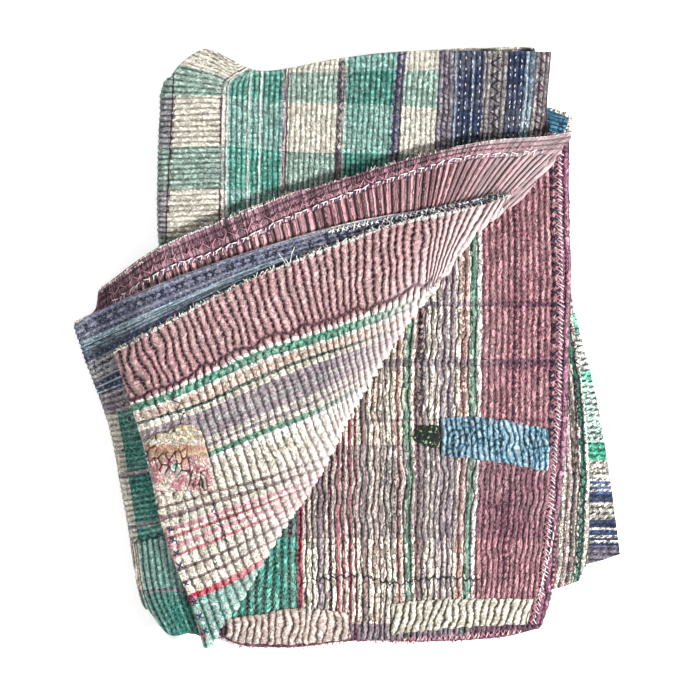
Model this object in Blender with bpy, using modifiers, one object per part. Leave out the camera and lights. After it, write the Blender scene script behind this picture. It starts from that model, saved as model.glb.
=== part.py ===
"""Kantha quilt lying folded in a loose stack, with the cloth patches sewn on it.

The quilt is one sheet of several old sari cloths run through with rows of
stitching. It is folded back and forth, so its layers lie one on another with
their plaid side and their pink side up in turn. Each layer is a grid stretched
between four lines in plan, each fold is a half round strip between two layers,
and the one open sheet is given the cloth's thickness at the end.

Plan positions are millimetres: x to the right, y to the back. The middle of the
floor area that the stack covers becomes the origin. The script works in metres.
"""

import math
from dataclasses import dataclass

import bmesh
import bpy
import numpy as np
from mathutils import Vector
from mathutils.bvhtree import BVHTree

MM = 0.001

# Driving sizes, in millimetres.
MIDDLE = (-0.75, -0.46)  # middle of the floor area covered, in the plan's own measure
CLOTH = 2.8            # thickness of the quilted cloth
PITCH = 5.6            # one layer's middle to the next one's middle
REST = 7.0             # how far a layer lies level past the edge of the one below
DROOP = 62.0           # width over which it then sinks to the next layer down
PUFF = 9.0             # extra height of the loose fold at the back left
PUFF_REACH = 95.0      # how far that looseness runs into the layer
PUFF_FROM = 40.0       # y where the looseness begins, growing to the back
PUFF_OVER = 110.0      # length over which it grows
RIDGE = 0.6            # height of the stitched ridges above and below the middle
RIDGE_EDGE = 16.0      # width along the edges over which the ridges die away
FOLD_STEPS = 3         # faces round a fold
CROWDING = 0.35        # how far the grid rows gather at a layer's front and back, 0 to 1
MERGE = 0.01           # points closer than this are one
PATCH = 1.0            # thickness of a patch
PATCH_GAP = 0.35       # clearance between a patch and the quilt
PATCH_STEP = 11.0      # size of a patch's faces

# Lines in plan that bound the layers: folds, and the free edges of the cloth.
# Each runs from the front to the back, or from the left to the right.
LINES = {
    "under_left": ((-134, -192), (-142, 42), (-150, 240)),
    "under_right": ((246, -188), (236, -113), (224, -43), (201, 53), (190, 168), (165, 268)),
    "under_front": ((-134, -192), (46, -208), (215, -197), (246, -188)),
    "under_back_fold": ((-150, 240), (-118, 256), (10, 262), (165, 268)),
    "loose_fold_left": ((-155, -214), (-168, -66), (-166, 87), (-162, 190), (-150, 240)),
    "lining_right": ((208, -212), (215, -197), (217, -104), (212, -43), (199, 53), (196, 140),
                     (201, 208)),
    "lining_notch": ((165, 268), (172, 226), (201, 208)),
    "lining_front": ((-155, -214), (0, -226), (182, -220), (208, -212)),
    "check_front": ((-155, -214), (-98, -236), (1, -246), (120, -246), (169, -255)),
    "check_back": ((-150, 240), (-130, 265), (-89, 251), (-8, 261), (46, 267), (183, 267)),
    "check_side": ((196, 186), (182, 192), (179, 208), (183, 267)),
    "panel_fold_right": ((169, -255), (180, -216), (189, -123), (194, -48), (196, 42),
                         (195, 124), (196, 186)),
    "panel_front": ((-124, -257), (-101, -269), (-53, -272), (1, -266), (81, -266),
                    (141, -262), (169, -255)),
    "panel_back": ((-166, 51), (-44, 108), (91, 148), (160, 172), (196, 186)),
    "panel_fold_left": ((-124, -257), (-134, -219), (-150, -138), (-163, -48), (-170, 15),
                        (-166, 51)),
    "turn_fold": ((-124, -257), (-107, -220), (-78, -174), (-37, -108), (-10, -55), (38, 22),
                  (71, 62), (104, 104), (132, 121), (150, 135), (174, 161), (191, 182)),
    "turn_tip": ((191, 182), (190, 186), (196, 192)),
    "turn_back": ((-166, 51), (-44, 112), (91, 152), (160, 182), (196, 192)),
    "flap_fold_left": ((-181, -237), (-187, -216), (-198, -149), (-214, -69), (-234, -14),
                       (-244, 20)),
    "mauve_front": ((-181, -237), (-155, -251), (-124, -257)),
    "mauve_tip": ((191, 182), (189, 186), (201, 195)),
    "mauve_end": ((-244, 20), (-231, 33), (-227, 52)),
    "mauve_back": ((-227, 52), (-175, 88), (-124, 111), (-61, 136), (-17, 148), (46, 167),
                   (109, 183), (136, 187), (179, 190), (201, 195)),
    "border_front": ((-181, -237), (-161, -260), (-141, -258), (-125, -265)),
    "border_tip": ((137, 126), (142, 139)),
    "border_back": ((-244, 20), (-180, 53), (-98, 83), (2, 112), (82, 126), (142, 139)),
    "flap_fold_right": ((-125, -265), (-117, -248), (-101, -228), (-71, -175), (-29, -113),
                        (-3, -61), (46, 18), (78, 59), (110, 103), (137, 126)),
    "flap_left": ((-131, -270), (-143, -228), (-166, -167), (-185, -87), (-210, -11),
                  (-212, -5)),
    "flap_front": ((-131, -270), (-125, -265)),
    "flap_tip": ((137, 126), (147, 138)),
    "flap_back": ((-212, -5), (-130, 40), (-58, 74), (40, 110), (82, 120), (126, 129),
                  (147, 138)),
}


@dataclass(frozen=True)
class Layer:
    """One layer of the folded cloth, from the lowest up.

    Each side is one line or more on end, with the grid steps that each line has.
    Ridged layers show the stitched rows.
    """

    name: str
    left: tuple
    right: tuple
    front: tuple
    back: tuple
    ridged: bool = False


LAYERS = (
    Layer("under", (("under_left", 9),), (("under_right", 9),),
          (("under_front", 9),), (("under_back_fold", 9),)),
    Layer("lining", (("loose_fold_left", 14),), (("lining_right", 14),),
          (("lining_front", 12),), (("under_back_fold", 9), ("lining_notch", 3))),
    Layer("check", (("loose_fold_left", 14),), (("panel_fold_right", 11), ("check_side", 3)),
          (("check_front", 24),), (("check_back", 24),), True),
    Layer("panel", (("panel_fold_left", 11),), (("panel_fold_right", 11),),
          (("panel_front", 36),), (("panel_back", 36),), True),
    Layer("turn", (("panel_fold_left", 11),), (("turn_tip", 11),),
          (("turn_fold", 18),), (("turn_back", 18),)),
    Layer("mauve", (("flap_fold_left", 10),), (("mauve_tip", 10),),
          (("mauve_front", 3), ("turn_fold", 18)), (("mauve_end", 2), ("mauve_back", 19)), True),
    Layer("border", (("flap_fold_left", 10),), (("border_tip", 10),),
          (("border_front", 4), ("flap_fold_right", 36)), (("border_back", 40),), True),
    Layer("flap", (("flap_left", 10),), (("flap_tip", 10),),
          (("flap_front", 1), ("flap_fold_right", 36)), (("flap_back", 37),), True),
)


@dataclass(frozen=True)
class Fold:
    """A fold that joins a layer to the next one up, along one shared line."""

    lower: str
    line: str
    outward: int       # 1 where the fold faces right of the line's own direction, else -1


FOLDS = (
    Fold("under", "under_back_fold", -1),
    Fold("lining", "loose_fold_left", -1),
    Fold("check", "panel_fold_right", 1),
    Fold("panel", "panel_fold_left", -1),
    Fold("turn", "turn_fold", 1),
    Fold("mauve", "flap_fold_left", -1),
    Fold("border", "flap_fold_right", 1),
)


@dataclass(frozen=True)
class Patch:
    """A cloth patch sewn on the upper face of one layer, by its outline in plan."""

    name: str
    layer: str
    outline: tuple
    colour: tuple


PATCHES = (
    Patch("blue_patch", "panel",
          ((83, -64), (113, -63), (146, -67), (179, -74), (181, -93), (179, -112), (141, -105),
           (113, -101), (83, -98)), (0.21, 0.43, 0.66)),
    Patch("green_patch", "panel",
          ((59, -77), (63, -71), (81.5, -71), (81.5, -91), (71, -90), (58, -84)),
          (0.04, 0.13, 0.05)),
    Patch("print_patch", "flap",
          ((-181, -84), (-157, -71), (-140, -69), (-130, -77), (-125, -102), (-121, -128),
           (-168, -128)), (0.66, 0.40, 0.25)),
    Patch("cream_strip", "panel",
          ((41, -234), (89, -227), (166, -228), (161, -250), (113, -253), (41, -258)),
          (0.66, 0.60, 0.50)),
    Patch("beige_strip", "panel",
          ((-106, -244), (-81, -240), (-47, -237), (1, -239), (3, -259), (-53, -263),
           (-83, -263), (-104, -257)), (0.66, 0.50, 0.42)),
    Patch("corner_scrap", "lining",
          ((172, 210), (180, 210), (197, 204), (194, 193), (172, 190)), (0.01, 0.19, 0.44)),
)


def even(count):
    """Evenly spaced fractions from 0 to 1."""
    return np.linspace(0.0, 1.0, count + 1)


def crowded(count):
    """Fractions from 0 to 1, closer together towards both ends."""
    share = even(count)
    return (1 - CROWDING) * share + CROWDING * (0.5 - 0.5 * np.cos(math.pi * share))


def along(name, fractions):
    """Points on a smooth curve through a line's own points, by fraction of its length."""
    points = np.array(LINES[name], float)
    if len(points) > 2:
        points = smooth_curve(points)
    lengths = np.concatenate([[0.0], np.cumsum(np.linalg.norm(np.diff(points, axis=0), axis=1))])
    wanted = np.asarray(fractions) * lengths[-1]
    return np.stack([np.interp(wanted, lengths, points[:, axis]) for axis in (0, 1)], axis=1)


def smooth_curve(points, pieces=6):
    """A centripetal curve through the points, each span cut into short pieces."""
    before = 2 * points[0] - points[1]
    after = 2 * points[-1] - points[-2]
    full = np.vstack([before, points, after])
    curve = [points[0]]
    for p0, p1, p2, p3 in zip(full, full[1:], full[2:], full[3:]):
        t1 = max(np.linalg.norm(p1 - p0), 1e-6) ** 0.5
        t2 = t1 + max(np.linalg.norm(p2 - p1), 1e-6) ** 0.5
        t3 = t2 + max(np.linalg.norm(p3 - p2), 1e-6) ** 0.5
        for t in np.linspace(t1, t2, pieces + 1)[1:]:
            a1 = p0 * (t1 - t) / t1 + p1 * t / t1
            a2 = p1 * (t2 - t) / (t2 - t1) + p2 * (t - t1) / (t2 - t1)
            a3 = p2 * (t3 - t) / (t3 - t2) + p3 * (t - t2) / (t3 - t2)
            b1 = a1 * (t2 - t) / t2 + a2 * t / t2
            b2 = a2 * (t3 - t) / (t3 - t1) + a3 * (t - t1) / (t3 - t1)
            curve.append(b1 * (t2 - t) / (t2 - t1) + b2 * (t - t1) / (t2 - t1))
    return np.array(curve)


def run_on(lines, spread):
    """The points of one line or more on end, each cut into its own steps."""
    runs = [along(name, spread(count)) for name, count in lines]
    return np.vstack([runs[0]] + [run[1:] for run in runs[1:]])


def plan_grid(layer):
    """The plan positions of a layer's grid: rows from front to back, then x and y."""
    front = run_on(layer.front, even)
    back = run_on(layer.back, even)
    left = run_on(layer.left, crowded)
    right = run_on(layer.right, crowded)
    u = even(len(front) - 1)[None, :, None]
    v = crowded(len(left) - 1)[:, None, None]
    sides = (1 - v) * front[None] + v * back[None] + (1 - u) * left[:, None] + u * right[:, None]
    corners = ((1 - u) * (1 - v) * front[0] + u * (1 - v) * front[-1]
               + (1 - u) * v * back[0] + u * v * back[-1])
    return sides - corners


def outline(grid):
    """The closed outline of a grid in plan."""
    return np.vstack([grid[0], grid[1:, -1], grid[-1, -2::-1], grid[-2:0:-1, 0]])


def inside_distance(points, loop):
    """How far points lie inside a closed outline, less than 0 outside it."""
    ends = np.roll(loop, -1, axis=0)
    nearest = np.full(len(points), np.inf)
    crossings = np.zeros(len(points), int)
    for start, end in zip(loop, ends):
        run = end - start
        share = np.clip(((points - start) @ run) / max(run @ run, 1e-9), 0.0, 1.0)
        nearest = np.minimum(nearest, np.linalg.norm(points - start - share[:, None] * run, axis=1))
        spans = (start[1] > points[:, 1]) != (end[1] > points[:, 1])
        if start[1] != end[1]:
            reach = start[0] + (points[:, 1] - start[1]) * run[0] / run[1]
            crossings += spans & (points[:, 0] < reach)
    return np.where(crossings % 2 == 1, nearest, -nearest)


def smoothstep(value):
    """An even rise from 0 to 1."""
    value = np.clip(value, 0.0, 1.0)
    return value * value * (3 - 2 * value)


def looseness(points):
    """Extra height over the lining where the fold at the back left stands loose."""
    from_fold = np.abs(points[:, 0] - LINES["loose_fold_left"][2][0])
    to_back = smoothstep((points[:, 1] - PUFF_FROM) / PUFF_OVER)
    return PUFF * to_back * (1 - smoothstep(from_fold / PUFF_REACH))


def height(points, below):
    """The middle height of cloth at plan points that lies over the layers below."""
    level = np.full(len(points), CLOTH / 2)
    for name, loop in below:
        share = smoothstep((inside_distance(points, loop) + REST + DROOP) / DROOP)
        thickness = PITCH + (looseness(points) if name == "lining" else 0.0)
        level += share * thickness
    return level


def ridges(plan):
    """Stitched rows of a layer: its columns stand up and down in turn inside its edges."""
    rows, columns = plan.shape[:2]
    within = inside_distance(plan.reshape(-1, 2), outline(plan)).reshape(rows, columns)
    turns = (-1.0) ** np.arange(columns)
    return RIDGE * turns * smoothstep(within / RIDGE_EDGE)


def layer_grids():
    """Every layer's points in space, by name, and what lies below each."""
    grids = {}
    below = []
    for layer in LAYERS:
        plan = plan_grid(layer)
        flat = plan.reshape(-1, 2)
        level = height(flat, below).reshape(plan.shape[:2])
        if layer.ridged:
            level = level + ridges(plan)
        grids[layer.name] = np.dstack([plan, level])
        below.append((layer.name, outline(plan)))
    return grids, below


def points_on(grid, layer, line):
    """The points of a layer's grid along one of its lines."""
    sides = ((layer.left, grid[:, 0]), (layer.right, grid[:, -1]),
             (layer.front, grid[0]), (layer.back, grid[-1]))
    for lines, points in sides:
        start = 0
        for name, count in lines:
            if name == line:
                return points[start:start + count + 1]
            start += count
    raise ValueError(f"{layer.name} has no line {line}")


def fold_grid(fold, grids):
    """The half round strip of a fold, from the lower layer to the upper one."""
    names = [layer.name for layer in LAYERS]
    index = names.index(fold.lower)
    lower = points_on(grids[names[index]], LAYERS[index], fold.line)
    upper = points_on(grids[names[index + 1]], LAYERS[index + 1], fold.line)
    run = np.gradient(lower[:, :2], axis=0)
    run /= np.linalg.norm(run, axis=1)[:, None]
    out = np.stack([run[:, 1], -run[:, 0], np.zeros(len(run))], axis=1) * fold.outward
    middle = (lower + upper) / 2
    radius = (upper[:, 2] - lower[:, 2])[:, None] / 2
    strips = []
    for turn in np.linspace(-math.pi / 2, math.pi / 2, FOLD_STEPS + 1):
        lift = np.array([0.0, 0.0, math.sin(turn)])
        strips.append(middle + radius * (out * math.cos(turn) + lift))
    return np.array(strips)


def place(x, y, z):
    """A plan position and a height as a point of the model, in metres."""
    return Vector((x - MIDDLE[0], y - MIDDLE[1], z)) * MM


def add_grid(mesh, grid):
    """Adds a plane grid to the mesh and moves its points to their places."""
    rows, columns = grid.shape[0] - 1, grid.shape[1] - 1
    made = bmesh.ops.create_grid(mesh, x_segments=columns, y_segments=rows, size=1.0)
    for vertex in made["verts"]:
        column = round((vertex.co.x + 1.0) / 2.0 * columns)
        row = round((vertex.co.y + 1.0) / 2.0 * rows)
        vertex.co = place(*grid[row, column])


def cloth_object(name, mesh, thickness, colour, collection):
    """Makes an object of an open sheet, with its thickness and its colour."""
    bmesh.ops.recalc_face_normals(mesh, faces=mesh.faces)
    data = bpy.data.meshes.new(name)
    mesh.to_mesh(data)
    mesh.free()
    sheet = bpy.data.objects.new(name, data)
    collection.objects.link(sheet)
    solid = sheet.modifiers.new("thickness", "SOLIDIFY")
    solid.thickness = thickness * MM
    solid.offset = 0.0
    material = bpy.data.materials.new(name)
    material.use_nodes = True
    shader = material.node_tree.nodes["Principled BSDF"]
    shader.inputs["Base Color"].default_value = (*colour, 1.0)
    shader.inputs["Roughness"].default_value = 0.9
    shader.inputs["Metallic"].default_value = 0.0
    data.materials.append(material)
    return sheet


def build_quilt(collection):
    """The folded quilt: its layers and folds joined as one sheet."""
    grids, _ = layer_grids()
    mesh = bmesh.new()
    for grid in grids.values():
        add_grid(mesh, grid)
    for fold in FOLDS:
        add_grid(mesh, fold_grid(fold, grids))
    bmesh.ops.remove_doubles(mesh, verts=mesh.verts, dist=MERGE * MM)
    return cloth_object("quilt", mesh, CLOTH, (0.40, 0.20, 0.25), collection)


def upper_face(quilt):
    """A search tree of the quilt's solid, in metres."""
    graph = bpy.context.evaluated_depsgraph_get()
    return BVHTree.FromObject(quilt, graph)


def patch_cage(patch):
    """A flat patch in plan, cut into small faces."""
    mesh = bmesh.new()
    mesh.faces.new([mesh.verts.new(place(x, y, 0.0)) for x, y in patch.outline])
    low, high = np.min(patch.outline, axis=0), np.max(patch.outline, axis=0)
    for axis, normal in enumerate(((1, 0, 0), (0, 1, 0))):
        count = max(2, round((high[axis] - low[axis]) / PATCH_STEP))
        for share in even(count)[1:-1]:
            corner = low + share * (high - low)
            bmesh.ops.bisect_plane(
                mesh, geom=mesh.verts[:] + mesh.edges[:] + mesh.faces[:], dist=MERGE * MM,
                plane_co=place(*corner, 0.0), plane_no=normal)
    return mesh


def lay_on(mesh, tree, below):
    """Lowers a flat sheet on the cloth below it, clear of its ridges."""
    reach = PATCH_STEP / 2
    ring = [(reach * math.cos(a), reach * math.sin(a))
            for a in np.linspace(0, 2 * math.pi, 8, endpoint=False)]
    for vertex in mesh.verts:
        here = np.array(vertex.co.xy) / MM + MIDDLE
        points = here + np.array([(0.0, 0.0)] + ring)
        starts = height(points, below) + PITCH / 2
        hits = [tree.ray_cast(place(x, y, z), Vector((0, 0, -1)))[0]
                for (x, y), z in zip(points, starts)]
        top = max(hit.z for hit in hits if hit is not None)
        vertex.co.z = top + (PATCH_GAP + PATCH / 2) * MM


def build_patches(quilt, collection):
    """Every patch, laid on the upper face of its layer."""
    _, below = layer_grids()
    names = [layer.name for layer in LAYERS]
    tree = upper_face(quilt)
    for patch in PATCHES:
        mesh = patch_cage(patch)
        lay_on(mesh, tree, below[:names.index(patch.layer)])
        cloth_object(patch.name, mesh, PATCH, patch.colour, collection)


def main():
    """Clears the scene and builds the quilt and its patches."""
    for old in list(bpy.data.objects):
        bpy.data.objects.remove(old, do_unlink=True)
    collection = bpy.data.collections.new("kantha_quilt")
    bpy.context.scene.collection.children.link(collection)
    quilt = build_quilt(collection)
    build_patches(quilt, collection)


main()
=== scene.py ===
"""The looks of a kantha quilt that lies folded in a loose stack.

The quilt is one padded sheet of old sari cloths, run through with rows of
stitching. Each layer of the folded sheet is a fine grid stretched between the
same lines in plan as the solid's own layers, raised in its stitched rows and
closed round its rims. The patches, the loose sewing and the frayed threads lie
on those layers. Plan positions are millimetres, x to the right and y to the
back, and the model is in metres.
"""

from __future__ import annotations

import logging
import math
from collections.abc import Callable
from dataclasses import dataclass, replace
from enum import Enum
from functools import partial

import bpy
import numpy as np
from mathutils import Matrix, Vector

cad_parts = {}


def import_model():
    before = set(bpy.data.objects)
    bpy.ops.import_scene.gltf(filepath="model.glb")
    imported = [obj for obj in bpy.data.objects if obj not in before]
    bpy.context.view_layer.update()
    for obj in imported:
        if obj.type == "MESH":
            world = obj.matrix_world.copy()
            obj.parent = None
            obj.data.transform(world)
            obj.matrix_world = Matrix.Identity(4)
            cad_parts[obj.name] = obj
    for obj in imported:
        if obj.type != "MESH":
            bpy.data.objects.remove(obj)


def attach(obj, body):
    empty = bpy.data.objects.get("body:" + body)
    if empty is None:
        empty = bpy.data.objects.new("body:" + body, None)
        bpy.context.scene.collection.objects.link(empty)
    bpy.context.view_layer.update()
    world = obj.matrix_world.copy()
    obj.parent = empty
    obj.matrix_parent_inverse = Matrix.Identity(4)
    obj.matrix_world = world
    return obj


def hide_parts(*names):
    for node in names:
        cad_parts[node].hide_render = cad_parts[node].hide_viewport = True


LOG = logging.getLogger("kantha_quilt")

MM = 0.001
MIDDLE = (-0.75, -0.46)   # middle of the floor area covered, in the plan's own measure
CLOTH = 2.8               # thickness of the quilted cloth
PITCH = 5.6               # one layer's middle to the next one's middle
REST = 7.0                # how far a layer lies level past the edge of the one below
DROOP = 62.0              # width over which it then sinks to the next layer down
PUFF = 9.0                # extra height of the loose fold at the back left
PUFF_REACH = 95.0         # how far that looseness runs into the layer
PUFF_FROM = 40.0          # y where the looseness begins, growing to the back
PUFF_OVER = 110.0         # length over which it grows
CROWDING = 0.35           # how far grid rows gather at a layer's front and back
PATCH = 1.0               # thickness of a patch
RIM_STEPS = (0.35, 0.9, 1.6, 2.4)   # close grid steps at a rim, from its edge
FOLD_STEPS = 9            # grid steps round a fold
TUCKED_IN = (0.8, 1.6, 2.0, 2.3)   # grid steps past a fold, under it
ROUNDED = 3.0             # a fold's ends are rounded off over this many of its radii
LOWEST = 0.05             # the cloth's least height over the floor
UNDER_STEP = 12           # fine grid steps to one coarse step on a layer's underside
SIDE_SHADE = 0.6          # depth given to rims and undersides, where no rows are modelled
FRAME = 630.0             # width of the view
LENS = 170.0              # focal length, long enough for an even plan view
SENSOR = 36.0
VIEW_MIDDLE = (0.9, -2.7)  # plan position in the middle of the view
VIEW_LEVEL = 24.0         # height at which the view has its width
RUN_ON = 400.0            # how far guide lines go on straight past their ends
APART = 2.0               # least distance between two guide lines
DRIFT_CELLS = 97          # swells of a random pattern before it repeats
FACET_CELLS = 61          # facets of crumpled cloth before they repeat
RAMP_STOPS = 30           # stripes that one colour ramp holds

# Scales of the patterns in the cloth, as swells or spots to a metre.
SWAY = 160.0              # yarns and rows wander over 6 mm
FADING = 26.0             # dyes have faded in patches of 38 mm
YARN = 620.0              # single yarns, drawn 1.6 mm wide, as fine as the view can show
SLUB = 240.0              # thick places in the yarn, 4 mm long
TWIST = 640.0             # one turn of the sewing thread, 1.6 mm
SPECKS = 330.0            # printed specks, 3 mm apart
BLOOMS = 90.0             # printed blooms, 11 mm apart
WOBBLE = 420.0            # uneven outlines of the blooms, 2.4 mm

# Lines in plan that bound the layers: folds, and the free edges of the cloth.
LINES = {
    "under_left": ((-134, -192), (-142, 42), (-161, 243)),
    "under_right": ((246, -188), (236, -113), (224, -43), (201, 53), (190, 168), (165, 268)),
    "under_front": ((-134, -192), (46, -208), (215, -197), (246, -188)),
    "under_back_fold": ((-161, 243), (-128, 252), (-89, 245), (-8, 255), (62, 264), (165, 268)),
    "loose_fold_left": ((-155, -214), (-168, -66), (-166, 87), (-164, 190), (-161, 243)),
    "lining_right": ((208, -212), (215, -197), (217, -104), (212, -43), (199, 53), (191, 140),
        (190, 180), (200, 208)),
    "lining_notch": ((165, 268), (171, 219), (200, 208)),
    "lining_front": ((-155, -214), (0, -226), (182, -220), (208, -212)),
    "check_front": ((-155, -214), (-98, -236), (1, -246), (120, -246), (169, -255)),
    "check_back": ((-161, 243), (-153, 254), (-141, 264), (-128, 269), (-108, 261), (-84, 250),
        (-8, 261), (46, 267), (183, 267)),
    "check_side": ((196, 186), (182, 192), (179, 208), (183, 267)),
    "panel_fold_right": ((169, -255), (180, -216), (189, -123), (194, -48), (196, 42), (195, 124),
        (196, 186)),
    "panel_front": ((-124, -257), (-101, -269), (-53, -272), (1, -266), (81, -266), (141, -262),
        (169, -255)),
    "panel_back": ((-166, 51), (-44, 108), (91, 148), (160, 172), (196, 186)),
    "panel_fold_left": ((-124, -257), (-134, -219), (-150, -138), (-163, -48), (-170, 15), (-166, 51)),
    "turn_fold": ((-124, -257), (-107, -220), (-78, -174), (-37, -108), (-10, -55), (38, 22),
        (71, 62), (104, 104), (132, 121), (150, 135), (174, 161), (191, 182)),
    "turn_tip": ((191, 182), (194, 186), (196, 192)),
    "turn_back": ((-166, 51), (-44, 112), (91, 152), (160, 182), (196, 192)),
    "flap_fold_left": ((-181, -237), (-187, -216), (-198, -149), (-214, -69), (-234, -14), (-247, 24)),
    "mauve_front": ((-181, -237), (-155, -251), (-124, -257)),
    "mauve_tip": ((191, 182), (198.5, 185), (201, 195)),
    "mauve_end": ((-247, 24), (-231, 33), (-227, 52)),
    "mauve_back": ((-227, 52), (-175, 88), (-124, 111), (-61, 136), (-17, 148), (46, 167),
        (109, 183), (136, 187), (179, 190), (201, 195)),
    "border_front": ((-181, -237), (-161, -260), (-141, -258), (-125, -265)),
    "border_tip": ((137, 126), (142, 139)),
    "border_back": ((-247, 24), (-180, 53), (-98, 83), (2, 112), (82, 126), (142, 139)),
    "flap_fold_right": ((-125, -265), (-117, -248), (-101, -228), (-71, -175), (-29, -113),
        (-3, -61), (46, 18), (78, 59), (110, 103), (137, 126)),
    "flap_left": ((-131, -270), (-143, -228), (-166, -167), (-185, -87), (-210, -11), (-212, -5)),
    "flap_front": ((-131, -270), (-125, -265)),
    "flap_tip": ((137, 126), (147, 138)),
    "flap_back": ((-212, -5), (-130, 40), (-58, 74), (40, 110), (82, 120), (126, 129), (147, 138)),
    "blue_back": ((83, -64), (113, -63), (146, -67), (179, -74)),
    "blue_right": ((179, -112), (181, -93), (179, -74)),
    "blue_front": ((83, -98), (113, -101), (141, -105), (179, -112)),
    "green_back": ((59, -77), (63, -71), (81.5, -71)),
    "green_front": ((58, -84), (71, -90), (81.5, -91)),
    "print_back": ((-184, -86), (-172, -78), (-160, -75), (-155, -70), (-144, -69), (-134, -73),
        (-130, -81)),
    "print_right": ((-121, -129), (-125, -104), (-130, -81)),
    "print_front": ((-173, -130), (-146, -128), (-121, -129)),
    "cream_back": ((38, -231), (89, -227), (166, -227)),
    "cream_front": ((38, -260), (90, -254), (161, -250)),
    "beige_back": ((-110, -245), (-81, -241), (-68, -238), (-47, -236), (1, -239)),
    "beige_front": ((-112, -262), (-101, -267), (-53, -269), (1, -264)),
    "corner_back": ((172, 217), (181, 215), (199, 207)),
    "corner_front": ((172, 188), (192, 190)),
}

Array = np.ndarray

# The other sides of the patches are straight, from the front line's end to the back's.
for patch_name in ("blue", "green", "print", "cream", "beige", "corner"):
    for side_name, end in (("left", 0), ("right", -1)):
        LINES.setdefault(f"{patch_name}_{side_name}", tuple(
            LINES[f"{patch_name}_{edge}"][end] for edge in ("front", "back")))


# ---------------------------------------------------------------- curves and noise

def even(count: int) -> Array:
    """Evenly spaced fractions from 0 to 1."""
    return np.linspace(0.0, 1.0, count + 1)


def crowd(share: Array) -> Array:
    """Fractions drawn closer together towards both ends."""
    return (1 - CROWDING) * share + CROWDING * (0.5 - 0.5 * np.cos(math.pi * share))


def smoothstep(value: Array) -> Array:
    """An even rise from 0 to 1."""
    value = np.clip(value, 0.0, 1.0)
    return value * value * (3 - 2 * value)


def blend(first: Array, second: Array, share: Array) -> Array:
    """The first value where the share is 0, and the second where it is 1."""
    return first * (1 - share) + second * share


def smooth_curve(points: Array, pieces: int = 6) -> Array:
    """Draws a centripetal curve through points.

    Args:
        points: The points it goes through.
        pieces: Short straight pieces to each span.

    Returns:
        The curve's points.
    """
    before = 2 * points[0] - points[1]
    after = 2 * points[-1] - points[-2]
    full = np.vstack([before, points, after])
    curve = [points[0]]
    for p0, p1, p2, p3 in zip(full, full[1:], full[2:], full[3:]):
        t1 = max(np.linalg.norm(p1 - p0), 1e-6) ** 0.5
        t2 = t1 + max(np.linalg.norm(p2 - p1), 1e-6) ** 0.5
        t3 = t2 + max(np.linalg.norm(p3 - p2), 1e-6) ** 0.5
        for t in np.linspace(t1, t2, pieces + 1)[1:]:
            a1 = p0 * (t1 - t) / t1 + p1 * t / t1
            a2 = p1 * (t2 - t) / (t2 - t1) + p2 * (t - t1) / (t2 - t1)
            a3 = p2 * (t3 - t) / (t3 - t2) + p3 * (t - t2) / (t3 - t2)
            b1 = a1 * (t2 - t) / t2 + a2 * t / t2
            b2 = a2 * (t3 - t) / (t3 - t1) + a3 * (t - t1) / (t3 - t1)
            curve.append(b1 * (t2 - t) / (t2 - t1) + b2 * (t - t1) / (t2 - t1))
    return np.array(curve)


def lengths_of(points: Array) -> Array:
    """Distances run along a row of points, starting from 0."""
    return np.concatenate([[0.0], np.cumsum(np.linalg.norm(np.diff(points, axis=0), axis=1))])


def along(name: str, fractions: Array, pieces: int = 6) -> Array:
    """Points on a named line.

    Args:
        name: The line's name.
        fractions: Fractions of its length.
        pieces: Straight pieces to each of its spans.

    Returns:
        Plan points, one to a fraction.
    """
    points = np.array(LINES[name], float)
    if len(points) > 2:
        points = smooth_curve(points, pieces)
    lengths = lengths_of(points)
    wanted = np.asarray(fractions) * lengths[-1]
    return np.stack([np.interp(wanted, lengths, points[:, axis]) for axis in (0, 1)], axis=1)


def drift(x: Array, y: Array, size: float, seed: int) -> Array:
    """Smooth random heights from -1 to 1, the same for the same seed.

    Args:
        x: First coordinates, in millimetres.
        y: Second coordinates, in millimetres.
        size: Width of one swell, in millimetres.
        seed: Picks the pattern.

    Returns:
        One height for each point.
    """
    lattice = np.random.default_rng(seed).uniform(-1.0, 1.0, (DRIFT_CELLS, DRIFT_CELLS))
    column, row = np.floor(x / size).astype(int), np.floor(y / size).astype(int)
    fx, fy = smoothstep(x / size - column), smoothstep(y / size - row)

    def at(i: Array, j: Array) -> Array:
        """The lattice's value at a corner."""
        return lattice[i % DRIFT_CELLS, j % DRIFT_CELLS]

    low = blend(at(column, row), at(column + 1, row), fx)
    high = blend(at(column, row + 1), at(column + 1, row + 1), fx)
    return blend(low, high, fy)


def crinkle(points: Array, width: float, length: float, seed: int) -> Array:
    """Facets of crumpled cloth between sharp creases.

    Args:
        points: Plan points, in millimetres.
        width: A facet's usual width.
        length: Its usual length.
        seed: Picks the pattern.

    Returns:
        0 in the creases, and up to 1 in the middle of the facets.
    """
    lattice = np.random.default_rng(seed).uniform(0.08, 0.92, (FACET_CELLS, FACET_CELLS, 2))
    x, y = points.T
    warp = np.column_stack([drift(x, y, 1.7 * width, seed + more) for more in (1, 2)])
    spot = points / np.array([width, length]) + 0.42 * warp
    base = np.floor(spot).astype(int)
    nearest = np.full(len(points), np.inf)
    second = nearest.copy()
    for i in (-1, 0, 1):
        for j in (-1, 0, 1):
            corner = base + np.array([i, j])
            centre = corner + lattice[tuple(corner.T % FACET_CELLS)]
            away = np.linalg.norm(spot - centre, axis=1)
            second = np.minimum(second, np.maximum(away, nearest))
            nearest = np.minimum(nearest, away)
    deep = smoothstep(0.75 + 1.0 * drift(x, y, 1.5 * length, seed + 3))
    return 1 - deep * (1 - smoothstep((second - nearest) / 0.34))


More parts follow.
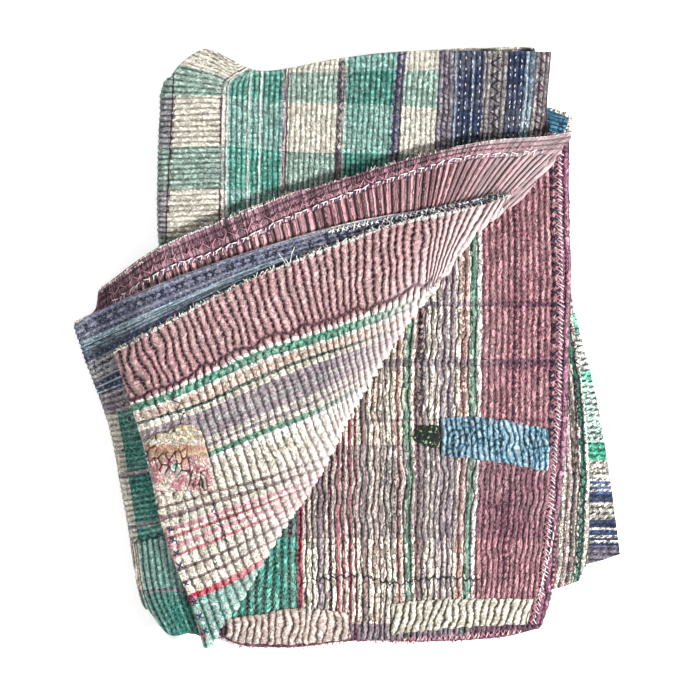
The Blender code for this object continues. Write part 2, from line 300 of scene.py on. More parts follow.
def inside_distance(points: Array, loop: Array) -> Array:
    """How far points lie inside a closed outline, less than 0 outside it."""
    ends = np.roll(loop, -1, axis=0)
    nearest = np.full(len(points), np.inf)
    crossings = np.zeros(len(points), int)
    for start, end in zip(loop, ends):
        run = end - start
        share = np.clip(((points - start) @ run) / max(run @ run, 1e-9), 0.0, 1.0)
        away = points - start - share[:, None] * run
        nearest = np.minimum(nearest, (away * away).sum(axis=1))
        spans = (start[1] > points[:, 1]) != (end[1] > points[:, 1])
        if start[1] != end[1]:
            reach = start[0] + (points[:, 1] - start[1]) * run[0] / run[1]
            crossings += spans & (points[:, 0] < reach)
    nearest = np.sqrt(nearest)
    return np.where(crossings % 2 == 1, nearest, -nearest)


def squared_distance(points: Array, spots: Array) -> Array:
    """The square of each point's distance to the nearest of some spots."""
    away = np.full(len(points), np.inf)
    for spot in spots:
        away = np.minimum(away, ((points - spot) ** 2).sum(axis=1))
    return away


def line_nearness(points: Array, name: str, reach: float) -> Array:
    """How near points are to a named line: 1 on it, and 0 beyond its reach."""
    return 1 - smoothstep(np.sqrt(squared_distance(points, along(name, even(80)))) / reach)


def looseness(points: Array) -> Array:
    """Extra height over the lining where the fold at the back left stands loose."""
    from_fold = np.abs(points[:, 0] - LINES["loose_fold_left"][2][0])
    to_back = smoothstep((points[:, 1] - PUFF_FROM) / PUFF_OVER)
    return PUFF * to_back * (1 - smoothstep(from_fold / PUFF_REACH))


def height(points: Array, below: list[tuple[str, Array]]) -> Array:
    """The middle height of cloth over the layers below it, in millimetres."""
    level = np.full(len(points), CLOTH / 2)
    for name, loop in below:
        share = smoothstep((inside_distance(points, loop) + REST + DROOP) / DROOP)
        level += share * (PITCH + (looseness(points) if name == "lining" else 0.0))
    return level


def place(points: Array) -> Array:
    """Plan positions with heights, in millimetres, as the model's metres."""
    return (points - np.array([MIDDLE[0], MIDDLE[1], 0.0])) * MM


@dataclass(frozen=True)
class Guides:
    """A measure laid over the cloth by lines along which it stays the same.

    Attributes:
        turn: Heading of the lines from the x axis, in degrees.
        marks: Pairs of a value and the points of the line that has it.
    """

    turn: float
    marks: tuple

    def read(self, points: Array) -> Array:
        """The measure at plan points, read between the two nearest lines."""
        angle = math.radians(self.turn)
        run = np.array([math.cos(angle), math.sin(angle)])
        side = np.array([-run[1], run[0]])
        near, far = points @ run, points @ side
        values = np.array([value for value, _ in self.marks], float)
        lines = []
        for _, mark in self.marks:
            bend = np.array(mark, float)
            bend = bend if len(bend) < 3 else smooth_curve(bend, 4)
            first, last = bend[0] - bend[1], bend[-1] - bend[-2]
            bend = np.vstack([bend[0] + RUN_ON * first / np.linalg.norm(first), bend,
                              bend[-1] + RUN_ON * last / np.linalg.norm(last)])
            a, b = bend @ run, bend @ side
            order = np.argsort(a)
            lines.append(np.interp(near, a[order], b[order]))
        sign = np.sign(np.median(lines[1] - lines[0]))
        lines = [line * sign for line in lines]
        far = far * sign
        for index in range(1, len(lines)):
            lines[index] = np.maximum(lines[index], lines[index - 1] + APART)
        gap = lines[1] - lines[0]
        result = values[0] + (far - lines[0]) / gap * (values[1] - values[0])
        for low, high, a, b in zip(lines[1:-1], lines[2:], values[1:-1], values[2:]):
            result = np.where(far > low, a + (far - low) / (high - low) * (b - a), result)
        return result


# ---------------------------------------------------------------- finishes

class Dye(Enum):
    """The colours of the cloths, the threads and the studio, as sRGB hex values."""

    MAUVE = "#a1717a"
    PANEL_MAUVE = "#a56f7a"
    DARK_MAUVE = "#6f4453"
    ROSE = "#b54d65"
    RED = "#c0324f"
    PINK = "#cf8f9b"
    TAN = "#cdb3a4"
    SAND = "#dcc4b8"
    CREAM = "#ddd6c6"
    WHITE = "#f3f0ea"
    CHALK = "#cdc6bc"
    BROWN = "#75605f"
    PLUM = "#4a2a3c"
    GREY_MAUVE = "#8d818c"
    GREY = "#98979b"
    SAGE = "#93b0a3"
    TEAL = "#319686"
    DEEP_TEAL = "#218375"
    MIXED_TEAL = "#7aaca2"
    GREEN = "#27836b"
    FOREST = "#1a4d3f"
    NAVY = "#1d3056"
    DEEP_NAVY = "#142a52"
    BLUE = "#2b4c82"
    STEEL = "#5f7488"
    SLATE = "#565c7c"
    DUSK = "#6c6474"
    ASH = "#7d7577"
    HEM = "#8f6775"
    HEM_PLUM = "#5c3652"
    EDGE_PINK = "#8d5271"
    SALMON = "#c99a92"
    FROST = "#cfeee0"
    JADE = "#46ab8d"
    PALE_ROSE = "#b39c98"
    STRAW = "#ad9873"
    LINEN = "#bfb6a5"
    # Pale pink of the painted highlight along the folds.
    RUBBED = "#efdcdb"
    INK = "#181c33"
    SKY = "#8ba6b8"
    MINT = "#86dcbf"
    PATCH_BLUE = "#4f8198"
    PATCH_GREEN = "#121e10"
    LEAF = "#8db07c"
    ORANGE = "#a8745a"
    PETAL = "#ad6e76"
    BEIGE = "#c0aaa0"
    SCRAP_BLUE = "#04607f"
    PAINT = "#f7f7f7"
    LIGHT = "#ffffff"


class Motif(Enum):
    """What is printed on a cloth."""

    PLAIN = "plain"
    FLOWERS = "flowers"
    SPECKS = "specks"


def linear(dye: Dye) -> tuple[float, float, float, float]:
    """A dye's colour in linear light."""
    parts = [int(dye.value[i:i + 2], 16) / 255 for i in (1, 3, 5)]
    shares = [p / 12.92 if p <= 0.04045 else ((p + 0.055) / 1.055) ** 2.4 for p in parts]
    return (*shares, 1.0)


def connect(node: bpy.types.Node, inputs: dict) -> None:
    """Sets or links a node's inputs.

    Args:
        node: The node.
        inputs: A dye, a value, a socket or a node by each input's name or number. A
            node is linked by its first output in use.
    """
    for key, value in inputs.items():
        if isinstance(value, bpy.types.Node):
            value = next(socket for socket in value.outputs if socket.enabled)
        if isinstance(value, bpy.types.NodeSocket):
            node.id_data.links.new(value, node.inputs[key])
        else:
            node.inputs[key].default_value = linear(value) if isinstance(value, Dye) else value


def add_node(tree: bpy.types.NodeTree, kind: str, *values: object, inputs: dict | None = None,
             **settings: object) -> bpy.types.Node:
    """Adds a shader node.

    Args:
        tree: The material's nodes.
        kind: The node's type name without its ShaderNode start, and after a dot its
            operation or its type of data.
        values: What its first inputs are set or linked to, in their order.
        inputs: The same for inputs by name or number.
        settings: The node's own properties.

    Returns:
        The new node.
    """
    kind, _, option = kind.partition(".")
    node = tree.nodes.new("ShaderNode" + kind)
    if option:
        settings["data_type" if kind == "Mix" else "operation"] = option
    for name, value in settings.items():
        setattr(node, name, value)
    connect(node, {**dict(enumerate(values)), **(inputs or {})})
    return node


def new_material(name: str) -> tuple[bpy.types.Material, bpy.types.Node, Callable]:
    """Starts a material.

    Args:
        name: The material's name.

    Returns:
        The material, its shader, and the function that adds its nodes.
    """
    material = bpy.data.materials.new(name)
    material.use_nodes = True
    tree = material.node_tree
    return material, tree.nodes["Principled BSDF"], partial(add_node, tree)


def draft(text: str) -> tuple:
    """A weaver's draft: where each stripe starts, in millimetres, and its dye."""
    words = text.split()
    return tuple((float(start), Dye[dye]) for start, dye in zip(words[::2], words[1::2]))


@dataclass(frozen=True)
class QuiltedCotton:
    """Old sari cotton, woven in stripes or checks and quilted in rows.

    Worn cotton gives a dull, soft surface with a faint sheen of loose fibre, and
    its dyes have faded unevenly. Stripes are given by where each starts, in
    millimetres along the cloth's first measure.

    Attributes:
        name: The material's name.
        stripes: Starts and dyes across the cloth.
        crossed: Starts and dyes where the cross bands lie, or nothing.
        bands: Starts and shares, from 0 to 1, of the cross bands.
        band_span: Length that the cross bands cover.
        band_origin: Where the cross bands' measure begins.
        span: Length that the stripes cover.
        origin: Where the stripes' measure begins.
        thread: Dye of the stitches in the troughs.
        stitch: Length of one stitch and its gap.
        shown: Share of a stitch's length that shows.
        stitch_width: Half width of a stitch, as a share of the rows' pitch.
        stitch_share: How strongly the stitches show on dark cloth.
        fade: How far the dyes have faded to chalk in places.
        hollow: How light the painted shade leaves the troughs, beside the crests.
        wander: How far woven lines stray, in millimetres.
        crest: Dye of the crests' painted highlight, which partly stands for rubbing.
        rubbed: How far the crests take it.
        cell: Length of one slanting yarn bump along the rows.
        chevron: How far the bumps slant, in bumps.
        gap: How light the painted shade leaves the gaps between them, beside the bumps.
        speckle: How much the bumps differ in shade.
        clear: How much more its texture shows where the dye is pale.
        motif: What is printed on it.
    """

    name: str
    stripes: tuple
    crossed: tuple = ()
    bands: tuple = ()
    band_span: float = 600.0
    band_origin: float = 0.0
    span: float = 400.0
    origin: float = 0.0
    thread: Dye = Dye.WHITE
    stitch: float = 5.0
    shown: float = 0.45
    stitch_width: float = 0.16
    stitch_share: float = 0.85
    fade: float = 0.16
    hollow: float = 0.3
    wander: float = 1.0
    crest: Dye = Dye.WHITE
    rubbed: float = 0.3
    cell: float = 3.0
    chevron: float = 0.9
    gap: float = 0.32
    speckle: float = 1.0
    clear: float = 1.35
    motif: Motif = Motif.PLAIN

    def ramp(self, add: Callable, place_in: bpy.types.Node, stripes: tuple, origin: float,
             span: float) -> bpy.types.Node:
        """A run of stripes as colour ramps, each within a ramp's count of stops."""
        share = add("MapRange", place_in, origin * MM, (origin + span) * MM)
        colour = None
        for first in range(0, len(stripes), RAMP_STOPS):
            part = stripes[first:first + RAMP_STOPS]
            node = add("ValToRGB", share)
            ramp = node.color_ramp
            ramp.interpolation = "CONSTANT"
            ramp.elements.remove(ramp.elements[-1])
            for index, (start, dye) in enumerate(part):
                at = min(max((start - origin) / span, 0.0), 1.0)
                stop = ramp.elements.new(at) if index else ramp.elements[0]
                stop.position = at
                stop.color = linear(dye) if isinstance(dye, Dye) else (dye, dye, dye, 1.0)
            if colour is None:
                colour = node
            else:
                past = add("Math.GREATER_THAN", share, (part[0][0] - origin) / span)
                colour = add("Mix.RGBA", past, inputs={6: colour, 7: node})
        return colour

    def make(self) -> bpy.types.Material:
        """Builds the material."""
        material, shader, add = new_material(self.name)
        body = add("TexCoord").outputs["Object"]
        cloth = add("SeparateXYZ", add("UVMap", uv_map="cloth"))
        rows = add("SeparateXYZ", add("UVMap", uv_map="rows"))
        depth = add("Attribute", attribute_name="depth").outputs["Fac"]
        painted_edge_highlight = add("Attribute", attribute_name="wear_and_highlight").outputs["Fac"]

        # Slanting yarn bumps between the stitches, two across each ridge.
        sway = add("TexNoise", inputs={"Vector": body, "Scale": SWAY, "Detail": 2.0})
        inside = add("Math.FRACT", rows)
        centred = add("Math.SUBTRACT", inside, 0.5)
        folded = add("Math.ABSOLUTE", centred)
        slant = add("Math.MULTIPLY_ADD", folded, 2 * self.chevron, sway)
        down_cells = add("Math.MULTIPLY_ADD", rows.outputs[1], 1 / (self.cell * MM), slant)
        over_cells = add("Math.MULTIPLY_ADD", rows, 2.0, sway)
        spot = add("CombineXYZ", over_cells, down_cells)
        lots = {"Vector": spot, "Scale": 1.0, "Randomness": 0.85}
        seams = add("TexVoronoi", inputs=lots, voronoi_dimensions="2D",
                    feature="DISTANCE_TO_EDGE")
        cells = add("TexVoronoi", inputs=lots, voronoi_dimensions="2D")
        # Painted shade darkens the gaps between the bumps.
        gap = add("MapRange", seams, 0.01, 0.18, self.gap, 1.0)
        # Light catches the yarn beside each gap.
        lip = add("MapRange", seams, 0.16, 0.3, 1.28, 0.96)
        gaps = add("Math.MULTIPLY", gap, lip)
        lit = add("MapRange", cells.outputs["Color"], 0.25, 0.75, 1.05 - 0.4 * self.speckle,
                  1.05 + 0.5 * self.speckle)

        # The weft wanders a little, so woven lines are never quite straight.
        wander = self.wander * MM
        wandered = add("MapRange", sway, inputs={3: -wander, 4: wander})
        shift = add("Math.MULTIPLY_ADD", lit, 0.9 * wander, wandered)
        across = add("Math", cloth, shift)
        colour = self.ramp(add, across, self.stripes, self.origin, self.span)
        if self.crossed:
            down = add("Math", cloth.outputs[1], shift)
            other = self.ramp(add, across, self.crossed, self.origin, self.span)
            mask = self.ramp(add, down, self.bands, self.band_origin, self.band_span)
            colour = add("Mix.RGBA", mask, inputs={6: colour, 7: other})

        if self.motif is Motif.SPECKS:
            specks = add("TexNoise", inputs={"Vector": body, "Scale": SPECKS, "Detail": 1.0})
            shown = add("MapRange", specks, 0.6, 0.64)
            colour = add("Mix.RGBA", shown, inputs={6: colour, 7: Dye.LEAF})
        if self.motif is Motif.FLOWERS:
            colour = self.flowers(add, colour, across)
        plain = add("RGBToBW", colour)

        wear_and_highlight = add("TexNoise", inputs={"Vector": body, "Scale": FADING, "Detail": 4.0,
                                       "Roughness": 0.6})
        faded = add("MapRange", wear_and_highlight, 0.42, 0.68, 0.0, self.fade)
        colour = add("Mix.RGBA", faded, inputs={6: colour, 7: Dye.CHALK})

        # Single yarns and slubs differ in shade.
        yarn = add("TexNoise", inputs={"Vector": body, "Scale": YARN, "Detail": 2.0})
        slub = add("TexNoise", inputs={"Vector": body, "Scale": SLUB, "Detail": 1.0})
        tone = add("MapRange", yarn, 0.3, 0.7, 0.7, 1.25)
        tone_two = add("MapRange", slub, 0.3, 0.7, 0.85, 1.12)
        tones = add("Math.MULTIPLY", tone, tone_two)

        # Painted shade darkens the troughs, a painted highlight pales the crests, partly standing for
        # rubbing, and a painted highlight pales the folds.
        painted_trough_shade = add("MapRange", depth, 0.05, 0.6, self.hollow, 1.0,
                     interpolation_type="SMOOTHSTEP")
        for part in (painted_trough_shade, gaps, lit):
            tones = add("Math.MULTIPLY", tones, part)
        # Pale cloth shows its painted shade in the gaps and troughs more, and dark dyes take less of
        # the crests' painted highlight.
        contrast = add("MapRange", plain, 0.25, 0.6, 1.0, self.clear)
        tones = add("Math.POWER", tones, contrast)
        # A painted highlight pales the crests towards the crest dye, partly standing for rubbing.
        crest = add("MapRange", depth, 0.55, 1.0, 0.0, self.rubbed)
        takes = add("MapRange", plain, 0.03, 0.16, 0.2, 1.0)
        crest_rub_and_highlight = add("Math.MULTIPLY", crest, takes)
        colour = add("Mix.RGBA", crest_rub_and_highlight, inputs={6: colour, 7: self.crest})
        colour = add("VectorMath.SCALE", colour, inputs={3: tones})
        # A painted highlight pales the cloth along its folds.
        colour = add("Mix.RGBA", painted_edge_highlight, inputs={6: colour, 7: Dye.RUBBED})

        # A running stitch shows as dashes in the troughs, each row out of step.
        near = add("Math.ROUND", rows)
        away = add("Math.SUBTRACT", rows, near)
        apart = add("Math.ABSOLUTE", away)
        within = add("Math.LESS_THAN", apart, self.stitch_width)
        chance = add("TexWhiteNoise", inputs={1: near}, noise_dimensions="1D")
        beat = add("Math.MULTIPLY_ADD", rows.outputs[1], 1 / (self.stitch * MM), chance)
        phase = add("Math.FRACT", beat)
        dash = add("Math.LESS_THAN", phase, self.shown)
        stitched = add("Math.MULTIPLY", within, dash)
        # It is pulled into pale cloth, and stands out on dark cloth.
        stands_out = add("MapRange", plain, 0.04, 0.3, self.stitch_share,
                         0.2 * self.stitch_share)
        amount = add("Math.MULTIPLY", stitched, stands_out)
        colour = add("Mix.RGBA", amount, inputs={6: colour, 7: self.thread})

        # Weave and crinkle as a fine bump over the modelled rows.
        rough = add("Math.MULTIPLY_ADD", gaps, 1.4, yarn)
        raised = add("Math.MULTIPLY_ADD", stitched, 0.6, rough)
        bump = add("Bump", inputs={"Strength": 0.8, "Distance": 0.9 * MM, "Height": raised})
        connect(shader, {"Base Color": colour, "Normal": bump, "Roughness": 0.92,
                         "Specular IOR Level": 0.25, "Sheen Weight": 0.12,
                         "Sheen Roughness": 0.5})
        return material

    def flowers(self, add: Callable, ground: bpy.types.Node,
                down: bpy.types.Node) -> bpy.types.Node:
        """Prints round petals with pale outlines, and a leaf, over a ground.

        Args:
            add: Adds a node to the material.
            ground: The ground's colour.
            down: Place down the cloth, in metres.

        Returns:
            The printed colour.
        """
        flat = add("UVMap", uv_map="cloth")
        wobble = add("TexNoise", inputs={"Vector": flat, "Scale": WOBBLE},
                     noise_dimensions="2D")
        bloom = add("TexVoronoi", inputs={"Vector": flat, "Scale": BLOOMS, "Randomness": 0.8},
                    voronoi_dimensions="2D")
        away = add("Math.MULTIPLY_ADD", wobble, 0.35, bloom)
        low = add("MapRange", down, 0.030, 0.034)
        for reach, dye in ((0.74, Dye.BROWN), (0.7, Dye.SAND), (0.62, Dye.PETAL),
                           (0.34, Dye.SAND), (0.3, Dye.ROSE)):
            within = add("Math.LESS_THAN", away, reach)
            amount = add("Math.MULTIPLY", within, low)
            ground = add("Mix.RGBA", amount, inputs={6: ground, 7: dye})
        for reach, dye in ((0.0038, Dye.SAND), (0.0029, Dye.GREEN)):
            leaf = add("VectorMath.DISTANCE", flat, (0.037, -0.005, 0.0))
            within = add("Math.LESS_THAN", leaf, reach)
            ground = add("Mix.RGBA", within, inputs={6: ground, 7: dye})
        return ground


# ---------------------------------------------------------------- quilting

@dataclass(frozen=True)
class Rows:
    """Where points lie among the stitched rows, and the relief that these make.

    Attributes:
        across: Row numbers, whole in the troughs.
        along: Distances along the rows, in millimetres.
    """

    across: Array
    along: Array

    def swayed(self, amount: float, seed: int) -> "Rows":
        """The same rows, wandering sideways by a share of their pitch."""
        slow = drift(self.across * 0.35, self.along / 15.0, 1.0, seed)
        quick = drift(self.across * 1.1, self.along / 5.0, 1.0, seed + 1)
        return Rows(self.across + amount * (slow + 0.45 * quick), self.along)

    def tubes(self, seed: int, nick: float = 0.09, length: float = 4.4) -> Array:
        """Round ridges whose sides are nicked by the stitches, from 0 to 1."""
        trough = np.round(self.across)
        away = self.across - trough
        side = np.sign(away)
        step = 2.0 * drift(trough * 5.31 + side * 1.9, np.zeros_like(trough), 1.0, seed)
        phase = (self.along / length + step
                 + 0.35 * drift(self.across * 0.8, self.along / 9.0, 1.0, seed + 3))
        width = 0.1 + nick * np.sin(math.pi * phase) ** 2
        crown = np.sqrt(np.clip(1 - (1 - 2 * np.abs(away)) ** 2, 0.0, 1.0))
        return crown * (1 - np.exp(-(away / width) ** 2))

    def bumps(self, length: float, lean: float, seed: int) -> Array:
        """Puckers along each row, slanting one way or the other, from 0 to 1."""
        number = np.floor(self.across)
        inside = self.across - number - 0.5
        step = drift(number * 7.31, np.zeros_like(number), 1.0, seed) * 2.0
        way = np.where(drift(number * 3.17, self.along / 70.0, 1.0, seed + 5) > 0, 1.0, -1.0)
        uneven = 0.5 * drift(self.across * 0.8, self.along / 11.0, 1.0, seed + 3)
        phase = self.along / length + step + uneven + 2 * lean * way * inside
        strong = 0.75 + 0.25 * drift(self.across * 0.7, self.along / 14.0, 1.0, seed + 7)
        quiet = smoothstep(0.35 + 1.6 * drift(number * 5.77, self.along / 90.0, 1.0, seed + 9))
        puckered = strong * np.abs(np.sin(math.pi * phase)) ** 0.6
        return puckered + (0.8 - puckered) * 0.75 * quiet

    def knit(self, length: float, lean: float, seed: int) -> Array:
        """Plump slanting bumps like a braid, from 0 to 1."""
        return self.tubes(seed + 40) * (0.3 + 0.7 * self.bumps(length, lean, seed))

    def checks(self, length: float, seed: int) -> Array:
        """Little cushions between rows that cross, from 0 to 1."""
        lines = np.abs(np.sin(math.pi * (self.along / length
                                         + 0.3 * drift(self.across, self.along / 8, 1.0, seed))))
        return self.tubes(seed + 40) * (0.25 + 0.75 * lines ** 0.5)


# ---------------------------------------------------------------- the layers

def side_points(lines: tuple, shares: Array, spread: Callable = np.asarray,
                pieces: int = 6) -> Array:
    """Points along a side whose lines stand end on end, each with its own steps."""
    total = sum(count for _, count in lines)
    where = shares * total
    points = np.empty((len(shares), 2))
    start = 0
    for name, count in lines:
        held = (where >= start - 1e-9) & (where <= start + count + 1e-9)
        local = np.clip((where[held] - start) / count, 0.0, 1.0)
        points[held] = along(name, spread(local), pieces)
        start += count
    return points


def side_length(lines: tuple) -> float:
    """The length of a side, in millimetres."""
    return lengths_of(side_points(lines, even(60)))[-1]


def patch_of(left: Array, right: Array, front: Array, back: Array, u: Array, v: Array) -> Array:
    """A smooth plan grid between four sides, rows from the front to the back."""
    u, v = u[None, :, None], v[:, None, None]
    sides = (1 - v) * front[None] + v * back[None] + (1 - u) * left[:, None] + u * right[:, None]
    corners = ((1 - u) * (1 - v) * front[0] + u * (1 - v) * front[-1]
               + (1 - u) * v * back[0] + u * v * back[-1])
    return sides - corners


def steps(spans: tuple, length: float, corners: tuple = ()) -> Array:
    """Fractions from 0 to 1 for a grid, close together where its cloth shows.

    Args:
        spans: Pairs of an end fraction and the step up to it, in millimetres.
        length: The side's length, in millimetres.
        corners: Fractions that the grid must have.

    Returns:
        The sorted fractions, with close steps at both rims.
    """
    parts = [np.array([0.0])]
    start = 0.0
    for end, step in spans:
        count = max(1, round((end - start) * length / step))
        parts.append(np.linspace(start, end, count + 1)[1:])
        start = end
    rims = np.array(RIM_STEPS) / length
    inner = np.concatenate(parts)
    inner = inner[(inner > rims[-1] * 1.2) & (inner < 1 - rims[-1] * 1.2)]
    for corner in corners:
        inner = inner[np.abs(inner - corner) > 0.4 / length]
    return np.unique(np.concatenate([[0.0, 1.0], rims, 1 - rims, inner, corners]))


@dataclass(frozen=True)
class Crease:
    """A soft trough or ridge in the lying cloth.

    Attributes:
        line: Plan points along it.
        rise: Its height, less than 0 in a trough, in millimetres.
        width: Its half width.
    """

    line: tuple
    rise: float
    width: float

    def read(self, points: Array) -> Array:
        """Its height at plan points."""
        spots = smooth_curve(np.array(self.line, float), 8)
        return self.rise * np.exp(-squared_distance(points, spots) / self.width ** 2)


CREASES = {
    "flap": (
        Crease(((-200, -40), (-150, -22), (-95, 8), (-40, 26), (20, 44), (64, 55)), -1.0, 7.0),
        Crease(((-172, -150), (-120, -132), (-60, -118)), -0.8, 8.0),
        Crease(((-150, -205), (-112, -196), (-80, -186)), 0.9, 9.0),
        Crease(((-120, 20), (-110, -20), (-96, -60)), 0.8, 12.0),
        Crease(((10, 80), (18, 40), (24, 8)), -0.7, 10.0),
    ),
    "panel": (
        Crease(((50, 40), (110, 38), (180, 44)), -0.9, 6.0),
        Crease(((60, -14), (120, -12), (188, -10)), -0.8, 6.0),
        Crease(((-20, -170), (50, -168), (110, -170), (180, -164)), -0.9, 6.0),
        Crease(((-32, -208), (40, -212), (118, -208)), -1.1, 4.0),
        Crease(((56, -100), (60, -150), (58, -200)), 0.8, 12.0),
        Crease(((150, 100), (152, 20), (148, -50)), 0.7, 12.0),
    ),
    "mauve": (
        Crease(((-200, 20), (-130, 60), (-60, 96), (20, 124), (100, 142)), 0.9, 14.0),
        Crease(((60, 172), (110, 160), (160, 168)), -0.8, 6.0),
    ),
    "border": (
        Crease(((-230, -8), (-180, 20), (-110, 52)), 0.8, 10.0),
        Crease(((-205, -120), (-180, -150), (-176, -200)), 0.9, 12.0),
    ),
}


@dataclass
class Layer:
    """One layer of the folded quilt, from the fold that joins it to the one below.

    Attributes:
        name: The layer's name.
        left: Its left side's lines, each with the solid's steps.
        right: Its right side's lines.
        front: Its front side's lines.
        back: Its back side's lines.
        columns: Spans of the fine grid from the left to the right.
        rows: Spans of the fine grid from the front to the back.
        finish: Its cloth.
        fold: The side along which it is folded over the layer below, or nothing.
        outward: 1 where that fold faces right of its line's own direction, else -1.
        stripes: The measure across its woven stripes.
        bands: The measure down its cross bands.
        rise: Height of its quilted rows, in millimetres.
        pitch: One row's width in the measure that counts the rows.
        by_stripes: Whether its rows are counted across the stripes, not the bands.
        sway: How far its rows wander, in rows, and the seed of that.
        knit: Length, lean and seed of its bumps, unless it has its own relief.
        below: Names and outlines of the layers below it.
    """

    name: str
    left: tuple
    right: tuple
    front: tuple
    back: tuple
    columns: tuple
    rows: tuple
    finish: QuiltedCotton
    stripes: Guides
    bands: Guides
    fold: str = ""
    outward: int = 1
    rise: float = 1.0
    pitch: float = 1.0
    by_stripes: bool = False
    sway: tuple = (0.16, 11)
    knit: tuple = (5.0, 0.4, 5)
    below: tuple = ()

    def outline(self) -> Array:
        """The closed outline in plan that the solid's layer has."""
        width = sum(count for _, count in self.front)
        length = sum(count for _, count in self.left)
        front, back = (side_points(side, even(width)) for side in (self.front, self.back))
        left, right = (side_points(side, even(length), crowd)
                       for side in (self.left, self.right))
        return np.vstack([front, right[1:], back[-2::-1], left[-2:0:-1]])

    def size(self) -> tuple[float, float]:
        """Width and length in plan, each by the longer of its two sides."""
        return (max(side_length(self.front), side_length(self.back)),
                max(side_length(self.left), side_length(self.right)))

    def plan(self) -> Array:
        """The fine grid's plan positions."""
        wide, long = self.size()
        corners_u, corners_g = set(), set()
        for side, corners in ((self.front, corners_u), (self.back, corners_u),
                              (self.left, corners_g), (self.right, corners_g)):
            total, start = sum(count for _, count in side), 0
            for _, count in side[:-1]:
                start += count
                corners.add(start / total)
        u = steps(self.columns, wide, tuple(sorted(corners_u)))
        v = steps(self.rows, long)
        fine = even(4000)
        g = np.interp(v, crowd(fine), fine)
        for corner in corners_g:
            g[np.argmin(np.abs(g - corner))] = corner
        v = crowd(g)
        return patch_of(*(side_points(side, g, crowd, 24) for side in (self.left, self.right)),
                        *(side_points(side, u, pieces=24) for side in (self.front, self.back)),
                        u, v)

    def rows_at(self, points: Array) -> Rows:
        """Where plan points lie among the stitched rows."""
        number, run = self.bands.read(points), self.stripes.read(points)
        if self.by_stripes:
            number, run = run, number
        return Rows(number / self.pitch, run)

    def relief(self, points: Array) -> tuple[Array, Array]:
        """How high the stitched rows stand, from 0 to 1, and their row numbers."""
        rows = self.rows_at(points).swayed(*self.sway)
        return rows.knit(*self.knit), rows.across

    def creases(self, points: Array) -> Array:
        """Soft swells and hollows of the lying cloth, in millimetres."""
        level = 0.5 * drift(*points.T, 46.0, 3)
        for crease in CREASES.get(self.name, ()):
            level += crease.read(points)
        return level

    def wear_and_highlight(self, points: Array) -> Array:
        """How far the cloth takes a painted highlight at plan points, from 0 to 1."""
        return np.zeros(len(points))

    def surface(self, points: Array) -> Array:
        """The height of the upper face at plan points, in millimetres."""
        raised, _ = self.relief(points)
        return (height(points, list(self.below)) + CLOTH / 2 + self.creases(points)
                + self.rise * (raised - 0.5))

    def fold_strip(self, line: Array, upper: Array) -> tuple[Array, Array]:
        """The half round strip from this layer down to the one below.

        Args:
            line: The fold's plan points.
            upper: This layer's middle heights along it.

        Returns:
            Middle points and outward normals, one row to a step round the fold.
        """
        lower = height(line, list(self.below[:-1]))
        run = np.gradient(line, axis=0)
        run /= np.linalg.norm(run, axis=1)[:, None]
        out = np.stack([run[:, 1], -run[:, 0]], axis=1) * self.outward
        middle, radius = (upper + lower) / 2, (upper - lower) / 2
        run_to = lengths_of(line)
        to_end = np.minimum(run_to, run_to[-1] - run_to) / (ROUNDED * radius.mean())
        bulge = radius * np.sqrt(1 - (1 - np.clip(to_end, 0, 1)) ** 2)
        places, normals = [], []
        for turn in np.linspace(math.pi / 2, -math.pi / 2, FOLD_STEPS + 1)[1:]:
            plan = line + out * (bulge * math.cos(turn))[:, None]
            places.append(np.column_stack([plan, middle + radius * math.sin(turn)]))
            normals.append(np.column_stack([out * math.cos(turn),
                                            np.full(len(line), math.sin(turn))]))
        for inward in TUCKED_IN:
            places.append(np.column_stack([line - out * inward, lower]))
            normals.append(np.tile([0.0, 0.0, -1.0], (len(line), 1)))
        return np.array(places), np.array(normals)

    def middle(self) -> tuple[Array, Array]:
        """The middle surface of the cloth with its fold, and its normals."""
        plan = self.plan()
        flat = plan.reshape(-1, 2)
        level = (height(flat, list(self.below)) + self.creases(flat)).reshape(plan.shape[:2])
        grid = np.dstack([plan, level])
        tangent_u, tangent_v = np.gradient(grid, axis=1), np.gradient(grid, axis=0)
        normal = np.cross(tangent_u, tangent_v)
        normal /= np.maximum(np.linalg.norm(normal, axis=2), 1e-9)[..., None]
        if not self.fold:
            return grid, normal
        turned = {"left": (1, 0), "right": (1, -1), "front": (0, 0), "back": (0, -1)}
        axis, end = turned[self.fold]
        line = grid[:, end] if axis else grid[end]
        strip, out = self.fold_strip(line[:, :2], line[:, 2])
        if end == 0:
            strip, out = strip[::-1], out[::-1]
        if axis:
            strip, out = strip.transpose(1, 0, 2), out.transpose(1, 0, 2)
        parts = (strip, grid) if end == 0 else (grid, strip)
        around = (out, normal) if end == 0 else (normal, out)
        return np.concatenate(parts, axis=axis), np.concatenate(around, axis=axis)

    def build(self) -> bpy.types.Object:
        """Builds the layer's closed mesh and dresses it."""
        grid, normal = self.middle()
        flat = grid.reshape(-1, 3)
        raised, row_numbers = self.relief(flat[:, :2])
        rim = rim_distance(grid)
        edge = np.sqrt(1 - (1 - np.clip(rim / (CLOTH / 2), 0, 1)) ** 2)
        swell = (self.rise * (raised - 0.5)).reshape(rim.shape) * smoothstep(rim / 5.0)
        upper = grid + normal * ((CLOTH / 2) * edge + swell)[..., None]
        lower = grid - normal * ((CLOTH / 2) * edge)[..., None]
        for face in (upper, lower):
            face[..., 2] = np.maximum(face[..., 2], LOWEST)
        made = closed_sheet("quilt_" + self.name, upper, lower, UNDER_STEP)
        points = plan_places(made)
        rows = self.rows_at(points)
        numbers = np.append(row_numbers, rows.across[len(flat):])
        depth = np.append(raised, np.full(len(points) - len(flat), SIDE_SHADE))
        lay_measures(made, (self.stripes.read(points) * MM, self.bands.read(points) * MM),
                     (numbers, rows.along * MM), depth, self.wear_and_highlight(points) * (0.15 + 0.85 * depth))
        made.data.materials.append(self.finish.make())
        return made


